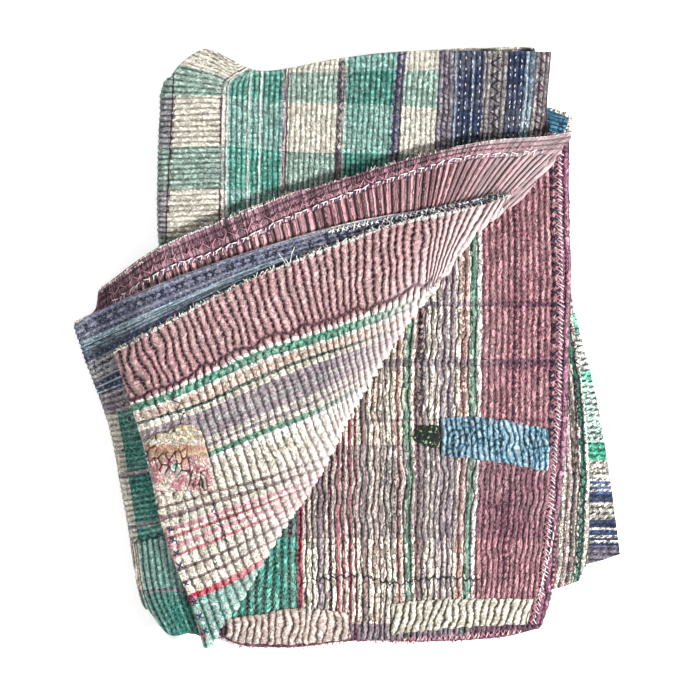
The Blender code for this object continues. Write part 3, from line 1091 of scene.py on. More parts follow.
def rim_distance(grid: Array) -> Array:
    """How far each point of a grid lies from its nearest rim, over the cloth."""
    reach = []
    for axis in (0, 1):
        runs = np.linalg.norm(np.diff(grid, axis=axis), axis=2)
        pad = [(0, 0), (0, 0)]
        pad[axis] = (1, 0)
        forward = np.cumsum(np.pad(runs, pad), axis=axis)
        total = forward.max(axis=axis, keepdims=True)
        reach.append(np.minimum(forward, total - forward))
    return np.minimum(*reach)


def new_piece(name: str, points: Array, faces: list) -> bpy.types.Object:
    """Makes a smooth piece.

    Args:
        name: The piece's name.
        points: Its vertices, in plan millimetres and heights.
        faces: Each face's vertex numbers.

    Returns:
        The new object, in the scene.
    """
    mesh = bpy.data.meshes.new(name)
    mesh.from_pydata(place(points).tolist(), [], faces)
    mesh.update()
    mesh.shade_smooth()
    made = bpy.data.objects.new(name, mesh)
    bpy.context.scene.collection.objects.link(made)
    LOG.info("%s: %d faces", name, len(faces))
    return made


def rim_between(number: Array, start: tuple, end: tuple) -> list[int]:
    """The rim's vertices between two corners of a coarse face, if its side is on the rim."""
    (r0, c0), (r1, c1) = start, end
    on_rim = (r0 == r1 and r0 in (0, len(number) - 1)
              or c0 == c1 and c0 in (0, number.shape[1] - 1))
    count = abs(r1 - r0) + abs(c1 - c0)
    return [int(number[r0 + (r1 - r0) * step // count, c0 + (c1 - c0) * step // count])
            for step in range(1, count) if on_rim]


def closed_sheet(name: str, upper: Array, lower: Array, under: int) -> bpy.types.Object:
    """Makes a closed sheet with a fine upper face and a coarse underside.

    Args:
        name: The object's name.
        upper: The upper face's grid, in plan millimetres and heights.
        lower: The underside's grid, which meets the upper one at the rim.
        under: Fine steps to one coarse step of the underside.

    Returns:
        The new object, with its upper vertices in grid order first.
    """
    rows, columns = upper.shape[:2]
    number = np.arange(rows * columns).reshape(rows, columns)
    quads = np.stack([number[:-1, :-1], number[:-1, 1:], number[1:, 1:], number[1:, :-1]],
                     axis=-1).reshape(-1, 4)
    faces = [tuple(int(i) for i in quad) for quad in quads]
    picked_rows = sorted({*range(0, rows, under), rows - 1})
    picked_columns = sorted({*range(0, columns, under), columns - 1})
    points = [upper.reshape(-1, 3)]
    corner = {}
    count = rows * columns
    for row in picked_rows:
        for column in picked_columns:
            if row in (0, rows - 1) or column in (0, columns - 1):
                corner[row, column] = int(number[row, column])
            else:
                corner[row, column] = count
                points.append(lower[row, column][None])
                count += 1
    for r0, r1 in zip(picked_rows, picked_rows[1:]):
        for c0, c1 in zip(picked_columns, picked_columns[1:]):
            ends = ((r0, c0), (r1, c0), (r1, c1), (r0, c1))
            loop = []
            for start, end in zip(ends, ends[1:] + ends[:1]):
                loop += [corner[start], *rim_between(number, start, end)]
            faces.append(tuple(loop))
    return new_piece(name, np.vstack(points), faces)


def plan_places(made: bpy.types.Object) -> Array:
    """The plan positions of a piece's vertices, in millimetres."""
    mesh = made.data
    points = np.empty(len(mesh.vertices) * 3)
    mesh.vertices.foreach_get("co", points)
    return points.reshape(-1, 3)[:, :2] / MM + MIDDLE


def lay_measures(made: bpy.types.Object, cloth: tuple, rows: tuple, depth: Array,
                 wear_and_highlight: Array) -> None:
    """Lays the cloth's measures on a sheet as two UV maps and its relief as an attribute.

    Args:
        made: The sheet.
        cloth: Places across and down the woven pattern, in metres.
        rows: Row numbers, and places along the rows in metres.
        depth: How high the relief stands, from 0 to 1.
        wear_and_highlight: How far the cloth takes a painted highlight, from 0 to 1.
    """
    mesh = made.data
    corner = np.empty(len(mesh.loops), int)
    mesh.loops.foreach_get("vertex_index", corner)
    for name, values in (("cloth", cloth), ("rows", rows)):
        layer = mesh.uv_layers.new(name=name)
        places = np.column_stack(values)[corner].astype(np.float32)
        layer.data.foreach_set("uv", places.ravel())
    for name, values in (("depth", depth), ("wear_and_highlight", wear_and_highlight)):
        attribute = mesh.attributes.new(name, "FLOAT", "POINT")
        attribute.data.foreach_set("value", np.asarray(values).astype(np.float32))


class Under(Layer):
    """The lowest layer, plaid side up: a strip of it shows at the right."""

    def creases(self, points: Array) -> Array:
        """Soft swells that keep the underside off the floor."""
        return 0.45 + 0.4 * drift(*points.T, 46.0, 3)


class Check(Layer):
    """The third layer, plaid side up: large teal and cream checks."""

    turned_at = 200.0   # where level rows give way to upright ones, across the stripes

    def rows_at(self, points: Array) -> Rows:
        """Level rows over the loose fold, and upright rows over the rest."""
        across, down = self.stripes.read(points), self.bands.read(points)
        upright = across > self.turned_at
        return Rows(np.where(upright, across / 4.75, down / 4.9),
                    np.where(upright, down, across))

    def relief(self, points: Array) -> tuple[Array, Array]:
        """Close rows of small bumps."""
        rows = self.rows_at(points)
        swayed = rows.swayed(0.13, 41)
        upright = self.stripes.read(points) > self.turned_at
        raised = np.where(upright, swayed.checks(4.9, 7), swayed.knit(4.6, 0.25, 7))
        return raised * (0.7 + 0.3 * crinkle(points, 4.6, 5.2, 44)), swayed.across

    def creases(self, points: Array) -> Array:
        """Long soft pleats that fan from the back left corner."""
        x, y = points.T
        base = 0.8 * drift(x, y, 52.0, 4)
        ray = (x + 172) * 0.42 + (y - 250)
        near = np.exp(-((x + 118) / 46) ** 2) * smoothstep((y - 165) / 60)
        return base + 1.8 * near * np.sin(ray / 4.6)


class Panel(Layer):
    """The fourth layer, pink side up: mauve cloth and a striped border."""

    turned_at = 247.0   # where the teal cloth begins, across the stripes

    def rows_at(self, points: Array) -> Rows:
        """Upright rows, wider over the teal cloth at the left."""
        across = self.stripes.read(points)
        wide = (across - self.turned_at) / 6.9 + round(self.turned_at / 5.7)
        return Rows(np.where(across > self.turned_at, wide, across / 5.7),
                    self.bands.read(points))

    def relief(self, points: Array) -> tuple[Array, Array]:
        """Fine ribs above, plump knitted bumps below, plain ribs at the hem."""
        across, down = self.stripes.read(points), self.bands.read(points)
        plain = self.rows_at(points)
        quiet, lively = plain.swayed(0.14, 51), plain.swayed(0.3, 55)
        low = smoothstep((down - 90) / 30)
        mauve = 1 - smoothstep((across - 78) / 6)
        teal = smoothstep((across - 244) / 4)
        fine = quiet.tubes(58) * (0.35 + 0.65 * quiet.bumps(5.6, 1.1, 8))
        braid = lively.knit(7.6, 0.9, 9)
        ribs = lively.tubes(60) * (0.7 + 0.3 * lively.bumps(5.0, 0.3, 10))
        knot = quiet.knit(5.6, 0.6, 12)
        raised = blend(fine, braid, np.clip(low * mauve, 0, 1))
        raised = blend(raised, ribs, (1 - mauve) * (1 - teal))
        return blend(raised, knot, teal), quiet.across


class Mauve(Layer):
    """The sixth layer, pink side up: its hem and ridges show along the back."""

    def rows_at(self, points: Array) -> Rows:
        """Rows square to the hem; their bumps are placed by the same count."""
        number = self.bands.read(points)
        return Rows(number, number)

    def relief(self, points: Array) -> tuple[Array, Array]:
        """A flat woven hem, and ridges square to it."""
        across = self.stripes.read(points)
        rows = self.rows_at(points)
        swayed = rows.swayed(0.12, 61)
        ridges = swayed.tubes(63, 0.12) * (0.8 + 0.2 * swayed.bumps(4.6, 0.5, 13))
        hem_rows = Rows(across / 6.0, rows.across * 7.8)
        hem = 0.15 + 0.8 * hem_rows.bumps(5.0, 1.4, 14) * hem_rows.tubes(64)
        share = smoothstep((across - 21) / 4)
        return blend(hem, ridges, share), swayed.across

    def wear_and_highlight(self, points: Array) -> Array:
        """A painted highlight towards its tip at the right."""
        return 0.5 * smoothstep((points[:, 0] - 60) / 120)


class Border(Layer):
    """The seventh layer, plaid side up: navy stripes, then teal and cream checks."""

    lines_until = 90.0     # where the border stripes end, down from the back edge
    upright_from = 206.0   # where the rows turn upright

    def rows_at(self, points: Array) -> Rows:
        """Rows along the border stripes, and upright rows near the front."""
        down, side = self.stripes.read(points), self.bands.read(points)
        upright = down > self.upright_from
        return Rows(np.where(upright, side / 5.4, down / 4.9), np.where(upright, down, side))

    def relief(self, points: Array) -> tuple[Array, Array]:
        """Low smooth rows with small pleats across them."""
        down = self.stripes.read(points)
        rows = self.rows_at(points)
        swayed = rows.swayed(0.1, 71)
        ribs = swayed.tubes(65) * (0.65 + 0.35 * swayed.bumps(8.0, 0.2, 15))
        bumps = swayed.knit(4.8, 0.3, 16)
        share = smoothstep((down - self.lines_until) / 5)
        return blend(ribs, bumps, share), swayed.across


class Flap(Layer):
    """The top layer, pink side up: thick mauve ridges over a striped border."""

    ridged_to = 47.0    # where the long ridges break, down from the frayed edge
    border_from = 53.0  # where the woven border begins

    def relief(self, points: Array) -> tuple[Array, Array]:
        """Long wavy ridges, a row of short ones, then small cushions to the tip."""
        down = self.stripes.read(points)
        x, y = points.T
        rows = self.rows_at(points)
        # Its left end lies loose and crumpled.
        loose = smoothstep((-122 - x) / 55)
        bent = Rows(rows.across + 0.6 * loose * drift(x, y, 15.0, 88), rows.along)
        swayed = bent.swayed(0.3, 81)
        ridges = swayed.tubes(67, 0.13) * (0.85 + 0.15 * swayed.bumps(5.2, 0.5, 17))
        wavy = self.ridged_to + 2.5 * drift(rows.across, down * 0, 1.6, 82)
        broken = 1 - 0.85 * np.exp(-((down - wavy) / 1.6) ** 2)
        short = Rows(swayed.across + 0.5, swayed.along)
        stubs = short.tubes(68)
        past = smoothstep((down - wavy) / 2.0)
        upper = blend(ridges, stubs, past) * broken
        pinch = Rows(rows.swayed(0.16, 85).across, down)
        checks = pinch.checks(5.0, 18)
        checks = 0.15 + 0.85 * checks * (0.6 + 0.4 * crinkle(points, 6.0, 4.4, 86))
        checks = checks + 0.5 * loose * (crinkle(points, 10.0, 6.0, 89) - checks)
        share = smoothstep((down - self.border_from) / 4)
        return blend(upper, checks, share), swayed.across

    def wear_and_highlight(self, points: Array) -> Array:
        """A painted highlight along its fold, most towards the back."""
        near = (0.74 * line_nearness(points, "flap_fold_right", 40.0)
                + 0.25 * line_nearness(points, "flap_fold_right", 8.0))
        return near * smoothstep((points[:, 1] + 260) / 200)


# ---------------------------------------------------------------- woven patterns

UPRIGHT = 90.0   # heading of lines that run from the front to the back

PANEL_ACROSS = Guides(UPRIGHT, (
    (0, ((198, 204), (199, 105), (201, 78), (199, 24), (197, -63), (193, -123), (185, -184),
         (181, -228), (172, -264))),
    (81, ((119, 132), (120, 42), (118, -67), (117, -105), (114, -162), (112, -217),
          (109, -264))),
    (144, ((56, 132), (55, 21), (53, -21), (52, -67), (55, -114), (53, -148), (54, -190),
           (54, -228), (53, -268))),
    (217, ((-18, -84), (-18, -156), (-17, -228), (-17, -264))),
    (245, ((-45, -142), (-45, -192), (-44, -237), (-43, -268))),
    (297, ((-93, -138), (-98, -192), (-104, -268))),
))
DOWN_FROM_MIDDLE = Guides(0.0, ((0, ((-200, 0), (200, 0))), (200, ((-200, -200), (200, -200)))))
CHECK_ACROSS = Guides(UPRIGHT, (
    (142, ((-172, 225), (-173, 182), (-175, 132), (-176, 87))),
    (157.5, ((-155, 258), (-157, 225), (-160, 171), (-163, 116), (-164, 87))),
    (204.5, ((-82, 256), (-89, 251), (-100, 246), (-109, 238), (-110.5, 225), (-112, 127))),
    (225.5, ((-87, 258), (-89, 225), (-91, 127))),
    (306, ((-7, 259), (-8, 225), (-11, 162))),
    (357.3, ((47, 265), (43, 225), (40, 173))),
    (410, ((97, 266), (96, 225), (94, 186))),
    (493, ((183, 267), (179, 225), (175, 192))),
))
CHECK_DOWN = Guides(0.0, (
    (56, ((-162, 262), (-143, 257), (-120, 250), (-108, 244), (-98, 243), (-86, 250),
          (-8, 254), (46, 256), (79, 257))),
    (87, ((-159, 225), (-112, 226), (-53, 221), (-8, 220), (46, 217), (79, 215))),
    (130.5, ((-170, 180), (-112, 182), (-53, 177), (-8, 176), (46, 175), (79, 174))),
    (171, ((-170, 141), (-112, 143), (-58, 141), (-8, 137))),
))
MAUVE_DOWN = Guides(22.0, (
    (0, ((-226, 53), (-202, 69), (-179, 86), (-123, 111), (-86, 125), (-47, 141), (4, 157),
         (67, 175), (98, 181), (136, 187), (179, 190), (201, 194))),
    (20, ((-215, 40), (-161, 71), (-122, 84), (-81, 103), (-58, 114), (-1, 137), (51, 155),
          (110, 171), (144, 173), (179, 176))),
    (75, ((-197, -3), (-122, 34), (-58, 65), (-1, 87), (51, 105), (110, 122), (178, 127))),
))
MAUVE_ROWS = Guides(UPRIGHT, (
    (0, ((-226, 51), (-220, 24), (-215, -3))),
    (15.2, ((-123, 111), (-112, 76))),
    (25.7, ((-47, 141), (-41, 119), (-36, 96))),
    (32.5, ((4, 157), (8, 132), (12, 110))),
    (41.6, ((73, 176), (71, 150), (68, 122))),
    (49.8, ((136, 187), (118, 159), (102, 132))),
    (55.7, ((179, 190), (154, 164), (127, 132))),
))
BORDER_DOWN = Guides(24.0, (
    (0, ((-248, 21), (-227, 34), (-180, 53), (-98, 83), (-5, 109), (63, 123), (113, 135),
         (140, 140))),
    (16, ((-243, 5), (-157, 41), (-81, 73), (-5, 95))),
    (36, ((-237, -13), (-188, 12), (-140, 36), (-98, 56))),
    (55, ((-231, -32), (-211, -22), (-170, -4))),
    (67.5, ((-226, -43), (-204, -35), (-170, -22))),
    (90, ((-216, -63), (-197, -58), (-170, -51))),
    (120.6, ((-214, -94), (-191, -91), (-166, -86))),
    (144, ((-207, -116), (-175, -109))),
    (190, ((-200, -162), (-167, -156))),
    (206, ((-196, -178), (-166, -169))),
    (247.5, ((-187, -220), (-154, -217))),
))
BORDER_SIDE = Guides(UPRIGHT, (
    (0, ((-248, 22), (-238, -14), (-226, -49), (-218, -69), (-208, -115), (-202, -149),
         (-194, -184), (-191, -216), (-185, -239), (-179, -250))),
    (12.6, ((-235, 22), (-224, -14), (-212, -49), (-208, -66), (-200, -111), (-190, -176),
            (-184, -221), (-169, -255))),
    (54, ((-194, 22), (-183, -14), (-171, -49), (-166, -69), (-157, -115), (-148, -176),
          (-141, -221), (-130, -255))),
))
FLAP_DOWN = Guides(27.0, (
    (0, ((-213, -6), (-180, 12), (-130, 40), (-98, 58), (-58, 74), (-6, 93), (38, 110),
         (67, 115), (98, 122), (119, 128), (147, 138))),
    (57.6, ((-197, -56), (-157, -43), (-80, -8), (-52, 0), (5, 18), (66, 41))),
    (72.5, ((-187, -69), (-157, -60), (-134, -53), (-80, -29), (-49, -16), (-34, -11))),
    (126, ((-126, -97), (-77, -76), (-49, -66), (-23, -55), (11, -36))),
    (156.6, ((-165, -143), (-128, -132), (-72, -117), (-45, -108))),
    (227.7, ((-143, -225), (-107, -209), (-82, -195))),
))
FLAP_ROWS = Guides(UPRIGHT, (
    (0, ((-210, -14), (-199, -44), (-185, -87), (-166, -167), (-143, -228), (-130, -270))),
    (22, ((-58, 74), (-52, 42), (-41, 11), (-28, -30), (-13, -75), (3, -111))),
    (40, ((73, 119), (71, 78), (68, 41), (68, 15))),
    (47.4, ((127, 130), (112, 104), (95, 76))),
    (50.4, ((145, 137), (136, 123), (118, 99))),
))
LINING_ACROSS = Guides(UPRIGHT, (
    (0, ((201, 51), (208, -3), (215, -43), (219, -104), (217, -164), (215, -197),
         (211, -219))),
    (27, ((176, 51), (182, -3), (188, -43), (192, -104), (190, -164), (188, -197),
          (184, -219))),
))

FLAP_CLOTH = QuiltedCotton(
    "quilted_cotton_flap",
    draft(
        "-20 WHITE 1.6 MAUVE 51.5 WHITE 54.8 GREEN 60.3 WHITE 63.5 TAN 71.2 FOREST 72.6 CREAM "
        "79 GREY_MAUVE 92 GREY 98 GREY_MAUVE 108 CHALK 114 GREY_MAUVE 118 CREAM 123 GREEN 128.5 WHITE "
        "133 CREAM 155.5 BROWN 157.8 CREAM 163 BROWN 167.5 CREAM 173 PINK 176.5 CREAM 180 ROSE "
        "182.5 CREAM 186 PINK 189.5 CREAM 193 ROSE 195.5 CREAM 205 BROWN 207.5 CREAM 214.5 BROWN "
        "217 CREAM 225.5 RED 230.5 MIXED_TEAL"),
    crossed=draft(
        "-20 WHITE 1.6 MAUVE 51.5 WHITE 54.8 GREEN 60.3 WHITE 118 PINK 130 CREAM 160 PINK 226 RED "
        "231 PINK 262 MIXED_TEAL"),
    bands=((-40, 1.0), (0.9, 0.0)), band_origin=-40.0, band_span=140.0,
    span=320.0, origin=-20.0, thread=Dye.WHITE, stitch=4.4, shown=0.3,
    stitch_width=0.1, stitch_share=0.5, hollow=0.14, crest=Dye.SAND, rubbed=0.42, gap=0.4,
    speckle=0.6)

MAUVE_CLOTH = QuiltedCotton(
    "quilted_cotton_mauve",
    draft("-20 WHITE 1.4 HEM 18.4 EDGE_PINK 22.0 MAUVE"),
    span=320.0, origin=-20.0, thread=Dye.PLUM, stitch=4.4, shown=0.5, stitch_width=0.12,
    stitch_share=0.7, hollow=0.1, crest=Dye.SAND, rubbed=0.1, gap=0.14)

PANEL_CLOTH = QuiltedCotton(
    "quilted_cotton_panel",
    draft(
        "-20 PLUM 1.4 EDGE_PINK 10.0 DARK_MAUVE 14.0 PANEL_MAUVE 80.5 WHITE 85 GREEN 90.5 CREAM "
        "93.5 SALMON 99.5 CREAM 104.5 GREY_MAUVE 109 CREAM 110.5 GREY_MAUVE 116 CREAM 120 GREY_MAUVE "
        "122 CREAM 127 GREY_MAUVE 129 CREAM 131 BROWN 138 CREAM 141.5 GREEN 146.5 CREAM 151 SALMON "
        "155.5 CREAM 166 BROWN 168.4 CREAM 171 TAN 176.5 CREAM 182.5 BROWN 186.5 CREAM")
    + tuple((start + more, dye) for start in (191.5, 196.9, 202.3, 207.7)
            for more, dye in draft("0.0 ROSE 2.6 CREAM"))
    + draft("211.5 CREAM 215 PLUM 219 CREAM 223.5 GREY_MAUVE 228 CREAM 241 RED 247 TEAL"),
    crossed=draft(
        "-20 HEM_PLUM 80.5 DUSK 85 FOREST 90.5 DUSK 141.5 FOREST 146.5 DUSK 190 HEM_PLUM"),
    bands=((-300, 0.0), (-41, 0.85), (-35.5, 0.0), (11.5, 0.85), (17.5, 0.0), (64.0, 0.75),
           (67.5, 0.0), (88, 0.5), (172, 0.0), (250, 1.0)), band_origin=-300.0, band_span=600.0,
    span=400.0, origin=-20.0, thread=Dye.PINK, stitch=4.6, shown=0.45, stitch_width=0.1,
    stitch_share=0.55, hollow=0.12, crest=Dye.SAND, rubbed=0.32, cell=4.4, chevron=1.3,
    gap=0.12)

RIGHT_COLUMNS = draft(
    "393.5 DUSK 409.5 SKY 410.7 DEEP_NAVY 415.5 STEEL 416.5 DEEP_NAVY 425 STEEL 426 DEEP_NAVY "
    "435.5 ASH 456 DEEP_NAVY 466.8 SKY 467.8 NAVY 470.5 STEEL 472.8 SKY 474 STEEL 478 SKY 480 ASH "
    "492.5 PLUM")

CHECK_CLOTH = QuiltedCotton(
    "quilted_cotton_check",
    draft(
        "80 SAGE 154.8 PLUM 156.6 SAGE 199 GREY_MAUVE 201.5 SAGE 204.5 WHITE 206 TEAL 223.6 WHITE "
        "225.4 TEAL 234 WHITE 235.4 TEAL 254.7 GREY_MAUVE 256.5 CHALK 258 PLUM 259.6 SAGE 305 PLUM "
        "307.2 GREY 312 DEEP_TEAL 354 DUSK 362 SAGE")
    + RIGHT_COLUMNS,
    # From 80 to 154.8 across lies the rounded fold at the left; its cream rows are GREY there as
    # painted shade on the fold.
    crossed=draft(
        "80 GREY 154.8 PLUM 156.6 CREAM 199 DARK_MAUVE 201.0 CREAM 204.5 WHITE 206 MIXED_TEAL "
        "223.6 WHITE 225.4 MIXED_TEAL 234 WHITE 235.4 MIXED_TEAL 254.7 GREY_MAUVE 256.5 WHITE 258 PLUM "
        "259.6 CREAM 305 GREY_MAUVE 307.2 CHALK 312 MIXED_TEAL 354 DUSK 362 CREAM") + RIGHT_COLUMNS,
    bands=((-100, 1.0), (60, 0.0), (87, 1.0), (130.5, 0.0), (171, 1.0), (216, 0.0),
           (260, 1.0), (300, 0.0)),
    band_origin=-100.0, band_span=600.0, span=440.0, origin=80.0, thread=Dye.INK, stitch=4.6,
    shown=0.3, stitch_width=0.14, stitch_share=0.45, hollow=0.18, gap=0.2, wander=0.8,
    clear=0.72, rubbed=0.24)

BORDER_EDGE = draft(
    "-20 WHITE 1.0 SLATE 15.5 SKY 18.3 INK 19.3 SKY 21.8 INK 22.8 SKY 26 INK 27.4 STEEL 29.6 NAVY "
    "36.6 WHITE 37.6 GREY 55 NAVY 60 SKY 61.5 NAVY 64.5 SKY 66 NAVY 67.5 GREY_MAUVE")

BORDER_CLOTH = QuiltedCotton(
    "quilted_cotton_border",
    BORDER_EDGE
    + draft(
        "88 DEEP_TEAL 143 GREY_MAUVE 147 DEEP_TEAL 189 GREY 193 TEAL 206 MIXED_TEAL 246 GREY_MAUVE "
        "249 DEEP_TEAL"),
    crossed=BORDER_EDGE
    + draft(
        "88 CREAM 120 GREY 122 CREAM 143 GREY_MAUVE 147 CREAM 189 GREY 193 CREAM 246 GREY 249 SAGE"),
    bands=((-40, 1.0), (12.6, 0.0)), band_origin=-40.0, band_span=400.0,
    span=360.0, origin=-20.0, thread=Dye.WHITE, stitch=5.4, shown=0.3, stitch_width=0.12,
    stitch_share=0.25, hollow=0.2, gap=0.3, speckle=0.7, wander=0.35, cell=2.6, clear=0.8)

LINING_CLOTH = QuiltedCotton(
    "quilted_cotton_lining",
    draft("-20 CREAM 6.4 GREEN 8.6 FOREST 10.6 CREAM 13 BROWN 17 CHALK 19.5 PINK 21.5 CREAM"),
    span=400.0, origin=-20.0, thread=Dye.INK, stitch=5.0, hollow=0.14, gap=0.12,
    stitch_share=0.7, wander=1.5, rubbed=0.1)

UNDER_CLOTH = QuiltedCotton(
    "quilted_cotton_under",
    draft(
        "-300 WHITE -31 MINT -14 WHITE 19 MINT 31.5 FROST 86 JADE 101 CHALK 117.5 BLUE 119.3 WHITE "
        "121.2 BLUE 123 WHITE 125.4 BLUE 127.6 WHITE 129.6 BLUE 131.6 WHITE 133.0 NAVY 138.6 CHALK "
        "154.8 NAVY 163 WHITE 164.6 BLUE 167 WHITE 168.6 NAVY 170.6 WHITE 173 NAVY 174.8 WHITE "
        "177 NAVY 178.6 DUSK"),
    span=600.0, origin=-300.0, thread=Dye.INK, stitch=5.0, shown=0.25, stitch_share=0.3,
    hollow=0.12, gap=0.14, fade=0.06, wander=0.35, rubbed=0.2)

TURN_CLOTH = QuiltedCotton("quilted_cotton_turn", draft("-300 TEAL 40 SAGE"),
                           span=600.0, origin=-300.0)


# ---------------------------------------------------------------- the folded quilt

def layers() -> list[Layer]:
    """Every layer of the quilt, from the lowest up."""
    made = [
        Under("under", (("under_left", 9),), (("under_right", 9),), (("under_front", 9),),
              (("under_back_fold", 9),), ((0.84, 9.0), (1.0, 1.45)), ((1.0, 1.75),),
              UNDER_CLOTH, DOWN_FROM_MIDDLE, LINING_ACROSS, rise=1.5, pitch=5.2,
              by_stripes=True, sway=(0.15, 21), knit=(7.0, 0.2, 5)),
        Layer("lining", (("loose_fold_left", 14),), (("lining_right", 14),),
               (("lining_front", 12),), (("under_back_fold", 9), ("lining_notch", 3)),
               ((0.85, 9.0), (1.0, 1.2)), ((1.0, 1.65),), LINING_CLOTH, LINING_ACROSS,
               DOWN_FROM_MIDDLE, fold="back", outward=-1, rise=1.3, pitch=5.4,
               by_stripes=True, sway=(0.2, 31), knit=(6.0, 0.5, 6)),
        Check("check", (("loose_fold_left", 14),), (("panel_fold_right", 11), ("check_side", 3)),
              (("check_front", 24),), (("check_back", 24),), ((1.0, 1.12),),
              ((0.6, 8.0), (1.0, 1.33)), CHECK_CLOTH, CHECK_ACROSS, CHECK_DOWN,
              fold="left", outward=-1, rise=1.7),
        Panel("panel", (("panel_fold_left", 11),), (("panel_fold_right", 11),),
              (("panel_front", 36),), (("panel_back", 36),), ((0.3, 1.45), (1.0, 1.12)),
              ((1.0, 1.7),), PANEL_CLOTH, PANEL_ACROSS, DOWN_FROM_MIDDLE,
              fold="right", outward=1, rise=2.2),
        Layer("turn", (("panel_fold_left", 11),), (("turn_tip", 11),), (("turn_fold", 18),),
             (("turn_back", 18),), ((1.0, 5.0),), ((1.0, 6.0),), TURN_CLOTH,
             PANEL_ACROSS, DOWN_FROM_MIDDLE, fold="left", outward=-1, rise=0.4, pitch=5.0),
        Mauve("mauve", (("flap_fold_left", 10),), (("mauve_tip", 10),),
              (("mauve_front", 3), ("turn_fold", 18)), (("mauve_end", 2), ("mauve_back", 19)),
              ((1.0, 1.24),), ((0.25, 12.0), (0.7, 4.0), (1.0, 1.4)), MAUVE_CLOTH,
              MAUVE_DOWN, MAUVE_ROWS, fold="front", outward=1, rise=2.2),
        Border("border", (("flap_fold_left", 10),), (("border_tip", 10),),
               (("border_front", 4), ("flap_fold_right", 36)), (("border_back", 40),),
               ((0.16, 1.2), (1.0, 2.5)), ((1.0, 1.6),), BORDER_CLOTH, BORDER_DOWN,
               BORDER_SIDE, fold="left", outward=-1, rise=1.4),
        Flap("flap", (("flap_left", 10),), (("flap_tip", 10),),
             (("flap_front", 1), ("flap_fold_right", 36)), (("flap_back", 37),),
             ((1.0, 1.24),), ((1.0, 1.48),), FLAP_CLOTH, FLAP_DOWN, FLAP_ROWS,
             fold="front", outward=1, rise=3.0),
    ]
    below = []
    for layer in made:
        layer.below = tuple(below)
        below.append((layer.name, layer.outline()))
    return made


@dataclass
class Quilt:
    """The folded sheet, layer by layer, which stands for the one solid."""

    node: str = "quilt"
    slot: str = "quilted_cotton"

    def build(self) -> tuple[list[Layer], dict[str, bpy.types.Object]]:
        made = layers()
        pieces = {}
        for number, layer in enumerate(made):
            piece = layer.build()
            pieces[layer.name] = piece
            sewn = [Sewing(layer.name, 700 + number).build(made)] if layer.name in SEAMS else []
            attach(piece, "root")
            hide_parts(self.node)
            loop = layer.outline() * MM
            wide, long = (side * MM for side in layer.size())
        return made, pieces


